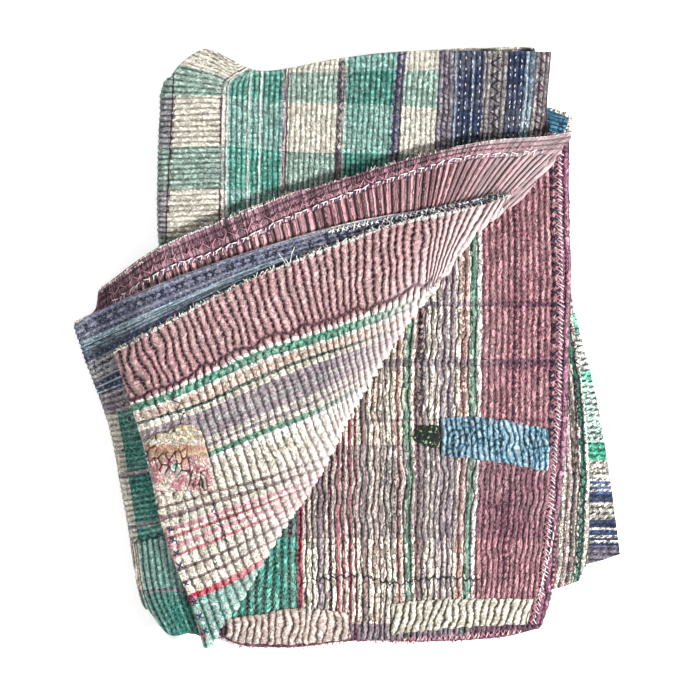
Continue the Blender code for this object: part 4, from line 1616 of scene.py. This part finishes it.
@dataclass
class Patch:
    """A patch sewn flat on a layer, with its own puckered rows.

    Attributes:
        node: The solid that it stands for; its lines' names start with the same word.
        host: The layer that carries it.
        finish: Its cloth, named as in the record.
        pitch: From one row to the next, in millimetres.
        lean: How far the rows lean to the right, for each millimetre to the back.
        rise: Height of its puckers.
        seed: Picks their pattern.
        across: Heading of the cloth's first measure, in degrees.
        origin: Plan point where the cloth's measures begin.
        crumpled: How far facets between creases take the place of its rows.
        facet: Width of one facet.
        sunk: Share of its relief that is flattened into the troughs.
        step: The grid's step.
    """

    node: str
    host: str
    finish: QuiltedCotton
    pitch: float
    lean: float
    rise: float
    seed: int
    across: float = 0.0
    origin: tuple = (0.0, 0.0)
    crumpled: float = 0.0
    facet: float = 6.0
    sunk: float = 0.0
    step: float = 0.95

    def plan(self) -> Array:
        """The patch's grid in plan."""
        names = [f"{self.node.split('_')[0]}_{side}"
                 for side in ("front", "back", "left", "right")]
        reach = [lengths_of(along(name, even(40), 6))[-1] for name in names]
        u = even(max(6, round(max(reach[:2]) / self.step)))
        v = even(max(6, round(max(reach[2:]) / self.step)))
        front, back = (along(name, u, 12) for name in names[:2])
        left, right = (along(name, v, 12) for name in names[2:])
        for line, share, axis in ((front, u, 1), (back, u, 1), (left, v, 0), (right, v, 0)):
            line[:, axis] += 1.1 * np.sin(math.pi * share) ** 0.5 * drift(
                line[:, 1 - axis], line[:, axis], 4.2, self.seed)
        return patch_of(left, right, front, back, u, v)

    def rows_at(self, points: Array) -> Rows:
        """The patch's own rows."""
        x, y = points[:, 0] - self.origin[0], points[:, 1] - self.origin[1]
        return Rows((x - self.lean * y) / self.pitch, y).swayed(0.46, self.seed)

    def measures(self, points: Array) -> tuple[Array, Array]:
        """Places on the patch's cloth, in millimetres."""
        angle = math.radians(self.across)
        shift = points - np.array(self.origin)
        first = shift[:, 0] * math.cos(angle) + shift[:, 1] * math.sin(angle)
        return first, shift[:, 1] * math.cos(angle) - shift[:, 0] * math.sin(angle)

    def build(self, layer: Layer, carrier: bpy.types.Object) -> bpy.types.Object:
        """Builds the patch on its layer and dresses it.

        Args:
            layer: The layer that carries it.
            carrier: That layer's piece; not used.

        Returns:
            The patch.
        """
        plan = self.plan()
        flat = plan.reshape(-1, 2)
        rows = self.rows_at(flat)
        raised = rows.tubes(self.seed, 0.14) * (0.45 + 0.55 * rows.bumps(7.0, 0.8, self.seed))
        facets = crinkle(flat - np.array(self.origin), self.facet, 1.9 * self.facet, self.seed)
        flatness = 0.8 * self.crumpled
        raised = ((1 - self.crumpled + self.crumpled * facets)
                  * (raised * (1 - flatness) + flatness))
        raised = smoothstep((raised - self.sunk) / (0.95 - self.sunk))
        level = (height(flat, list(layer.below)) + CLOTH / 2 + layer.creases(flat)
                 + 0.5 * layer.rise)
        under = np.dstack([plan, level.reshape(plan.shape[:2])])
        rim = rim_distance(under)
        edge = np.sqrt(1 - (1 - np.clip(rim / 1.2, 0, 1)) ** 2)
        swell = self.rise * raised.reshape(rim.shape) * (0.25 + 0.75 * smoothstep(rim / 3.0))
        upper = under.copy()
        upper[..., 2] += PATCH * (0.45 + 0.55 * edge) - 0.12 * self.rise + swell
        under[..., 2] = np.minimum(under[..., 2] - 0.6 * edge, upper[..., 2] - 0.4)
        made = closed_sheet(self.node + "_cloth", upper, under, 1)
        points = plan_places(made)
        spots = self.rows_at(points)
        first, second = self.measures(points)
        depth = np.append(raised, np.full(len(points) - len(flat), SIDE_SHADE))
        lay_measures(made, (first * MM, second * MM), (spots.across, spots.along * MM), depth,
                     np.zeros(len(points)))
        made.data.materials.append(self.finish.make())
        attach(made, "root")
        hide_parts(self.node)
        return made


BLUE_COTTON = QuiltedCotton(
    "light_blue_cotton", draft("0 PATCH_BLUE"), span=40.0, thread=Dye.INK, shown=0.2,
    stitch_share=0.3, hollow=0.1, gap=0.5, speckle=0.8, fade=0.04, rubbed=0.34)
GREEN_COTTON = QuiltedCotton(
    "dark_green_cotton", draft("0 PATCH_GREEN"), span=40.0, thread=Dye.INK, hollow=0.25,
    gap=0.3, rubbed=0.04, fade=0.0, motif=Motif.SPECKS)
PRINTED_COTTON = QuiltedCotton(
    "flower_print_cotton",
    draft(
        "-10 LINEN 3 STRAW 8 LINEN 12 STRAW 15 LINEN 21 ORANGE 27 STRAW 29 ORANGE 41 PALE_ROSE "
        "52 LINEN"),
    span=80.0, origin=-10.0, thread=Dye.BROWN, stitch=6.0, shown=0.2, stitch_share=0.4,
    hollow=0.12, gap=0.4, speckle=0.7, rubbed=0.12, wander=3.4, fade=0.1,
    motif=Motif.FLOWERS)
CREAM_COTTON = replace(BLUE_COTTON, name="cream_cotton", stripes=draft("0 LINEN"),
                       thread=Dye.BROWN, hollow=0.12, speckle=0.6, fade=0.05)
BEIGE_COTTON = replace(CREAM_COTTON, name="beige_cotton", stripes=draft("0 BEIGE"),
                       hollow=0.16, rubbed=0.24)
SCRAP_COTTON = QuiltedCotton(
    "bright_blue_cotton", draft("0 SCRAP_BLUE"), span=40.0, thread=Dye.INK, hollow=0.08,
    gap=0.3, speckle=1.3, fade=0.0, rubbed=0.12)

PATCHES = (
    Patch("blue_patch", "panel", BLUE_COTTON, 5.4, -0.08, 2.1, 211, origin=(83, -81),
          crumpled=0.5, facet=4.4, sunk=0.22, step=0.8),
    Patch("green_patch", "panel", GREEN_COTTON, 4.6, 0.3, 1.3, 231, origin=(58, -80),
          crumpled=0.7, facet=4.2, step=0.8),
    Patch("print_patch", "flap", PRINTED_COTTON, 7.4, -0.3, 1.3, 251, across=-90.0,
          origin=(-150, -70), crumpled=0.9, facet=5.6, step=0.8),
    Patch("cream_strip", "panel", CREAM_COTTON, 6.3, 0.3, 2.0, 271, origin=(41, -246),
          crumpled=0.2),
    Patch("beige_strip", "panel", BEIGE_COTTON, 6.6, 0.06, 1.8, 291, origin=(-106, -250),
          crumpled=0.2),
    Patch("corner_scrap", "lining", SCRAP_COTTON, 14.5, -3.3, 1.4, 311, origin=(172, 200),
          crumpled=0.6, facet=4.4, sunk=0.25, step=0.8),
)


# ---------------------------------------------------------------- sewing and frays

STROKE = (-1.0, -0.5, 0.0, 0.5, 1.0)   # a stitch's points, in half lengths from its middle
ARCH = (-0.45, 0.495, 0.675, 0.495, -0.45)   # how high they stand, in millimetres


def spot_on(line: Array, spot: float) -> tuple[Array, Array, Array]:
    """A place on a line.

    Args:
        line: The line's plan points.
        spot: How far along it the place is, in millimetres.

    Returns:
        Points half a millimetre before and after the place, and the line's direction.
    """
    lengths = lengths_of(line)
    here, ahead = (np.array([np.interp(spot + more, lengths, line[:, axis])
                             for axis in (0, 1)]) for more in (-0.5, 0.5))
    return here, ahead, (ahead - here) / max(np.linalg.norm(ahead - here), 1e-6)


class Hand(Enum):
    """How a line is sewn."""

    RUNNING = "running"
    SLANTED = "slanted"
    CROSSED = "crossed"
    ZIGZAG = "zigzag"
    FORKED = "forked"


@dataclass(frozen=True)
class Seam:
    """A line of stitches.

    Attributes:
        points: Plan points along it.
        hand: How it is sewn.
        dye: The thread's colour.
        step: From one stitch to the next, in millimetres.
        length: One stitch's length.
        beside: How far it lies to the left of the points, seen along them.
        thick: The thread's radius.
    """

    points: tuple
    hand: Hand
    dye: Dye
    step: float
    length: float
    beside: float = 0.0
    thick: float = 0.42

    def strokes(self, draw: np.random.Generator) -> list[Array]:
        """Each stitch's plan points, a little uneven."""
        line = smooth_curve(np.array(self.points, float), 8)
        spots = np.arange(self.step / 2, lengths_of(line)[-1], self.step)
        made = []
        for number, spot in enumerate(spots):
            here, ahead, way = spot_on(line, spot + draw.uniform(-0.28, 0.28) * self.step)
            side = np.array([-way[1], way[0]])
            middle = (here + ahead) / 2 + side * (self.beside + draw.uniform(-0.3, 0.3))
            half = self.length / 2 * draw.uniform(0.7, 1.2)
            turn = draw.uniform(-0.4, 0.4)
            # How far each stroke of a stitch runs forth and over, in half lengths.
            strides = {
                Hand.RUNNING: ((1.0, turn),),
                Hand.SLANTED: ((0.6, 0.8 + turn),),
                Hand.CROSSED: ((0.7, 0.7), (0.7, -0.7 - turn)),
                Hand.ZIGZAG: ((0.52 * self.step / half, 1.0 if number % 2 else -1.0),),
                Hand.FORKED: ((0.5, 0.9 + turn), (0.8, -0.5 - turn)),
            }
            made += [middle + np.outer(STROKE, half * (forth * way + over * side))
                     for forth, over in strides[self.hand]]
        return made


@dataclass(frozen=True)
class Fray:
    """Loose threads that stand out of a cut edge.

    Attributes:
        points: Plan points along the edge, with the outside at the left.
        count: Number of threads.
        length: Their usual length, in millimetres.
        dyes: Their colours, taken by turns.
        thick: The threads' radius.
    """

    points: tuple
    count: int
    length: float
    dyes: tuple
    thick: float = 0.3

    def strokes(self, draw: np.random.Generator) -> list[Array]:
        """Each thread's plan points, curling as it leaves the edge."""
        line = smooth_curve(np.array(self.points, float), 8)
        made = []
        for spot in np.sort(draw.uniform(0.0, lengths_of(line)[-1], self.count)):
            here, _, way = spot_on(line, spot)
            heading = math.atan2(way[1], way[0]) + math.pi / 2 + draw.uniform(-1.2, 1.2)
            bend = draw.uniform(-0.22, 0.22)
            reach = self.length * draw.uniform(0.4, 1.5) / 6
            spots = [here - 1.2 * np.array([math.cos(heading), math.sin(heading)])]
            for _ in range(6):
                step = reach * np.array([math.cos(heading), math.sin(heading)])
                spots.append(spots[-1] + step)
                heading += bend + draw.uniform(-0.15, 0.15)
            made.append(np.array(spots))
        return made


@dataclass(frozen=True)
class SewingThread:
    """Cotton sewing thread, dull and softly twisted."""

    dye: Dye

    def make(self) -> bpy.types.Material:
        """Builds the material."""
        material, shader, add = new_material("thread_" + self.dye.name.lower())
        body = add("TexCoord").outputs["Object"]
        twist = add("TexNoise", inputs={"Vector": body, "Scale": TWIST, "Detail": 1.0})
        tone = add("MapRange", twist, 0.3, 0.7, 0.7, 1.15)
        shade = add("VectorMath.SCALE", linear(self.dye)[:3], inputs={3: tone})
        bump = add("Bump", inputs={"Strength": 0.5, "Distance": 0.3 * MM, "Height": twist})
        connect(shader, {"Base Color": shade, "Normal": bump, "Roughness": 0.8})
        return material


RUNNING, SLANTED, CROSSED, ZIGZAG, FORKED = Hand
HEM_LINE = ((-214, 40), (-161, 71), (-122, 84), (-81, 103), (-58, 114), (-1, 137), (51, 155),
            (110, 171), (144, 173), (176, 176))
PANEL_EDGE = ((190, 176), (190, 105), (191, 42), (189, -45), (184, -120), (176, -205),
              (167, -250))
SEAMS = {
    "mauve": (
        Seam(HEM_LINE, RUNNING, Dye.WHITE, 8.6, 6.4, 1.0, 0.5),
        Seam(HEM_LINE, SLANTED, Dye.WHITE, 5.2, 4.0, -0.8, 0.34),
        Seam(HEM_LINE, RUNNING, Dye.NAVY, 11.0, 5.5, -2.6),
        Seam(((-215, 50), (-161, 82), (-122, 98), (-81, 115), (-58, 124), (-1, 146), (51, 162),
              (110, 176)), SLANTED, Dye.PLUM, 7.5, 6.5, 0.0, 0.35),
        Seam(((-215, 46), (-161, 77), (-122, 92), (-81, 110), (-58, 119), (-1, 141), (51, 158),
              (110, 173), (170, 180)), ZIGZAG, Dye.PINK, 6.0, 6.0, 1.5, 0.34),
    ),
    "border": (
        Seam(((-239, 16), (-215, 28), (-180, 43), (-98, 74), (-40, 91), (20, 107), (70, 116)),
             FORKED, Dye.INK, 9.6, 6.0, 0.0, 0.5),
        Seam(((-232, -19), (-212, -9), (-190, 1)), FORKED, Dye.INK, 7.5, 6.0),
        Seam(((-20, 103), (40, 115), (90, 126), (136, 137)), FORKED, Dye.WHITE, 4.4, 5.0,
             0.0, 0.4),
        Seam(((-22, 101), (38, 114), (88, 125), (134, 136)), CROSSED, Dye.INK, 6.2, 4.6,
             0.0, 0.4),
        Seam(((-214, -93.6), (-191, -91)), RUNNING, Dye.INK, 6.0, 4.0),
        Seam(((-197, -177), (-166, -167)), ZIGZAG, Dye.INK, 4.6, 5.0, 0.0, 0.55),
        Seam(((-190, -220), (-158, -216)), RUNNING, Dye.INK, 5.6, 3.6),
    ),
    "flap": (
        Seam(((-163, -156), (-159, -167), (-155, -180), (-152, -193), (-148, -205),
              (-143, -218), (-138, -230), (-127, -259)), CROSSED, Dye.NAVY, 12.4, 6.5,
             0.0, 0.6),
        Seam(((-181, -88), (-179, -98), (-175, -110), (-171, -122)), CROSSED, Dye.NAVY,
             11.0, 7.0, 0.0, 0.6),
        Seam(((-157, -42), (-146, -67)), ZIGZAG, Dye.INK, 5.0, 5.0),
        Seam(((-122, -141), (-110, -176)), ZIGZAG, Dye.NAVY, 6.0, 6.0),
        Seam(((-134, -73), (-128, -100), (-124, -128)), FORKED, Dye.BROWN, 8.0, 6.0, 2.0),
        Seam(((-166, -80), (-146, -76), (-136, -80)), RUNNING, Dye.BROWN, 8.0, 5.0),
        Seam(((-200, -36), (-190, -66), (-182, -84)), CROSSED, Dye.PLUM, 10.0, 5.0, -7.0),
    ),
    "check": (
        Seam(((46.5, 264), (43, 225), (39.6, 176)), ZIGZAG, Dye.NAVY, 5.0, 6.0, 0.0, 0.5),
        Seam(((-6.7, 259), (-8, 220), (-10.8, 165)), ZIGZAG, Dye.INK, 4.6, 3.4),
        Seam(((133, 262), (132, 220), (131, 182)), ZIGZAG, Dye.INK, 5.4, 7.6, 0.0, 0.55),
        Seam(((174, 262), (172, 220), (168, 184)), SLANTED, Dye.PLUM, 7.0, 7.0, 0.0, 0.6),
        Seam(((88, 262), (87, 225), (85, 178)), SLANTED, Dye.PLUM, 7.0, 6.0),
        Seam(((-156.6, 226), (-160, 171), (-162.9, 118)), RUNNING, Dye.PLUM, 6.0, 3.6),
        Seam(((-115.5, 225), (-116.5, 182)), RUNNING, Dye.PLUM, 5.4, 3.2),
    ) + tuple(
        Seam(((x, 263), (x - 1, 225), (x - 3, 181)), RUNNING, Dye.WHITE, 7.4, 2.2, 0.0, 0.36)
        for x in (100.5, 106, 112, 118.5, 146, 150.5, 156, 161)),
    "panel": (
        Seam(((184, 172), (185, 105), (186, 40), (184, -30), (182, -93)), FORKED, Dye.INK,
             8.6, 6.8, 0.0, 0.7),
        Seam(PANEL_EDGE, SLANTED, Dye.WHITE, 3.8, 5.6, 0.0, 0.36),
        Seam(PANEL_EDGE, ZIGZAG, Dye.PINK, 3.2, 5.0, -2.6, 0.36),
        Seam(((185.4, -97), (179, -165), (164, -226)), RUNNING, Dye.WHITE, 4.8, 3.6, 6.0,
             0.5),
        Seam(((48, -263.5), (81, -262.5), (120, -260), (158, -256)), ZIGZAG, Dye.PINK, 2.6,
             5.0, 0.0, 0.34),
        Seam(((48, -264.5), (81, -263.5), (120, -261), (158, -257)), SLANTED, Dye.WHITE,
             5.2, 4.0, 0.0, 0.34),
        Seam(((-32, -210), (10, -206), (40, -213), (80, -208), (118, -210)), ZIGZAG,
             Dye.INK, 4.2, 4.0, 0.0, 0.5),
        Seam(((66, 30), (65, -20), (64, -64)), FORKED, Dye.INK, 5.4, 5.4),
        Seam(((60, -98), (62, -150), (60, -196)), FORKED, Dye.BROWN, 6.8, 4.6),
        Seam(((104, 96), (104, 20), (103, -58)), FORKED, Dye.BROWN, 5.4, 5.4),
        Seam(((150, 130), (151, 60), (150, -10), (148, -60)), FORKED, Dye.PLUM, 6.4, 5.4),
        Seam(((171, 120), (172, 60), (172, 0), (170, -60)), FORKED, Dye.PLUM, 6.6, 5.4),
        Seam(((146, -112), (143, -160), (140, -216)), FORKED, Dye.PLUM, 6.8, 5.4),
    ) + tuple(
        Seam(((x, -104), (x + 0.5, -136), (x, -168)), RUNNING, Dye.INK, 2.8, 1.4, 0.0, 0.3)
        for x in (32.0, 36.5, 41.0, 46.0)),
    "lining": (
        Seam(((204, 18), (209, -43), (213, -104), (211, -164), (207, -200)), ZIGZAG,
             Dye.INK, 4.4, 5.0),
        Seam(((198, 40), (204, -10), (206, -60), (205, -120)), FORKED, Dye.PLUM, 8.0, 5.0),
    ),
}
PANEL_FRONT = ((141, -261), (81, -266), (1, -266), (-53, -271), (-101, -269), (-124, -257))
FRAYS = {
    "flap": (
        Fray(LINES["flap_back"], 330, 3.6,
             (Dye.WHITE, Dye.CREAM, Dye.GREEN, Dye.WHITE, Dye.INK, Dye.PINK), 0.36),
        Fray(((-60, 74), (-50, 77)), 3, 16.0, (Dye.WHITE,)),
    ),
    "mauve": (
        Fray(((-225, 53), (-124, 111), (-17, 148), (60, 171), (150, 188), (199, 195)), 130, 2.6,
             (Dye.WHITE, Dye.CREAM, Dye.PINK), 0.34),
        Fray(((196, 199), (202, 194)), 9, 11.0, (Dye.WHITE, Dye.PINK, Dye.CREAM)),
    ),
    "lining": (
        Fray(((195, 190), (199, 204), (200, 208))[::-1], 34, 6.0,
             (Dye.WHITE, Dye.CREAM, Dye.WHITE, Dye.INK, Dye.PLUM), 0.36),
        Fray(((180, 193), (181, 208)), 6, 9.0, (Dye.WHITE,)),
    ),
    "panel": (
        Fray(PANEL_FRONT, 170, 3.4, (Dye.PLUM, Dye.ROSE, Dye.DARK_MAUVE, Dye.PINK), 0.38),
        Fray(((82, -265), (30, -266)), 5, 11.0, (Dye.ROSE, Dye.PLUM)),
    ),
}


def top_height(stack: list[Layer], points: Array) -> Array:
    """The height of whatever lies uppermost at plan points, in millimetres."""
    level = np.zeros(len(points))
    for layer in stack:
        inside = inside_distance(points, layer.outline()) > 0
        if inside.any():
            level[inside] = layer.surface(points[inside])
    return level


@dataclass
class Sewing:
    """The loose sewing and frayed threads on one layer.

    Attributes:
        host: The layer's name.
        seed: Makes its unevenness the same each time.
    """

    host: str
    seed: int

    def build(self, stack: list[Layer]) -> bpy.types.Object:
        """Builds all of the layer's threads as one piece, a material to each dye."""
        draw = np.random.default_rng(self.seed)
        paths, kinds = [], []
        for line in (*SEAMS.get(self.host, ()), *FRAYS.get(self.host, ())):
            sewn = isinstance(line, Seam)
            dyes = (line.dye,) if sewn else line.dyes
            for number, stroke in enumerate(line.strokes(draw)):
                paths.append(stroke)
                kinds.append((dyes[number % len(dyes)], line.thick, sewn))
        names = [layer.name for layer in stack]
        levels = top_height(stack[:names.index(self.host) + 1], np.vstack(paths))
        dyes = list(dict.fromkeys(dye for dye, _, _ in kinds))
        places, faces, slots, start = [], [], [], 0
        for path, (dye, thick, sewn) in zip(paths, kinds):
            level = levels[start:start + len(path)]
            start += len(path)
            if sewn:
                level = level.mean() * 0.35 + level * 0.65 + thick + np.array(ARCH)
                level = np.maximum(level, thick + LOWEST)
            else:
                hanging = np.linspace(level[0] + thick, level[0] - 1.2, len(path))
                level = np.maximum(level + thick + 0.3, hanging)
            self.tube(np.column_stack([path, level]), thick, places, faces)
            slots += [dyes.index(dye)] * (4 * (len(path) - 1) + 2)
        made = new_piece("sewing_" + self.host, np.vstack(places), faces)
        for dye in dyes:
            made.data.materials.append(SewingThread(dye).make())
        made.data.polygons.foreach_set("material_index", slots)
        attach(made, "root")
        return made

    def tube(self, path: Array, thick: float, places: list, faces: list) -> None:
        """Adds a closed four-sided thread along a path to a mesh's points and faces."""
        count = sum(len(part) for part in places)
        way = np.gradient(path, axis=0)
        way /= np.maximum(np.linalg.norm(way, axis=1), 1e-9)[:, None]
        side = np.cross(way, [0.0, 0.0, 1.0])
        side /= np.maximum(np.linalg.norm(side, axis=1), 1e-9)[:, None]
        over = np.cross(side, way)
        rings = np.stack([path + side * thick, path + over * thick, path - side * thick,
                          path - over * thick], axis=1)
        places.append(rings.reshape(-1, 3))
        for ring in range(len(path) - 1):
            base = count + 4 * ring
            for corner in range(4):
                after = (corner + 1) % 4
                faces.append((base + corner, base + after, base + 4 + after,
                              base + 4 + corner))
        last = count + 4 * (len(path) - 1)
        faces.append((count + 3, count + 2, count + 1, count))
        faces.append((last, last + 1, last + 2, last + 3))


@dataclass
class Studio:
    """The pale floor, the soft light and the camera above."""

    floor_size: float = 6.0

    def build(self) -> None:
        """Builds the floor, the lamps and the camera."""
        bpy.ops.object.select_all(action="DESELECT")
        bpy.ops.mesh.primitive_plane_add(size=self.floor_size)
        floor = bpy.context.object
        floor.name = "floor"
        material, shader, _ = new_material("pale_paint")
        connect(shader, {"Base Color": Dye.PAINT, "Emission Color": Dye.LIGHT,
                         "Emission Strength": 0.45, "Roughness": 0.9})
        floor.data.materials.append(material)
        world = bpy.data.worlds.new("studio")
        world.use_nodes = True
        connect(world.node_tree.nodes["Background"], {0: Dye.LIGHT, 1: 0.42})
        bpy.context.scene.world = world
        self.lamp("key", (2.1, -0.5, 1.7), 0.4, 165.0)
        self.lamp("fill", (-1.6, 1.2, 1.8), 1.4, 24.0)
        self.camera()

    def lamp(self, name: str, where: tuple, size: float, power: float) -> None:
        """Adds a square soft light that faces the quilt."""
        bpy.ops.object.light_add(type="AREA", location=where)
        lamp = bpy.context.object
        lamp.name = name
        lamp.data.size = size
        lamp.data.energy = power
        lamp.rotation_euler = (-Vector(where)).to_track_quat("-Z", "Y").to_euler()

    def camera(self) -> None:
        """Adds the camera straight above the quilt."""
        distance = FRAME * LENS / SENSOR + VIEW_LEVEL
        spot = place(np.array([[*VIEW_MIDDLE, distance]]))[0]
        bpy.ops.object.camera_add(location=tuple(spot), rotation=(0.0, 0.0, 0.0))
        camera = bpy.context.object
        camera.data.lens = LENS
        camera.data.sensor_width = SENSOR
        camera.data.clip_end = 20.0
        bpy.context.scene.camera = camera


def main() -> None:
    """Builds the quilt, its patches and sewing, and the studio."""
    logging.basicConfig(level=logging.INFO, format="%(message)s")
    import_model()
    bpy.ops.object.select_all(action="DESELECT")
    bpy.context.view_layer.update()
    bpy.context.scene.view_settings.view_transform = "Standard"
    stack, pieces = Quilt().build()
    for patch in PATCHES:
        host = next(layer for layer in stack if layer.name == patch.host)
        patch.build(host, pieces[patch.host])
    Studio().build()


if __name__ == "__main__":
    main()
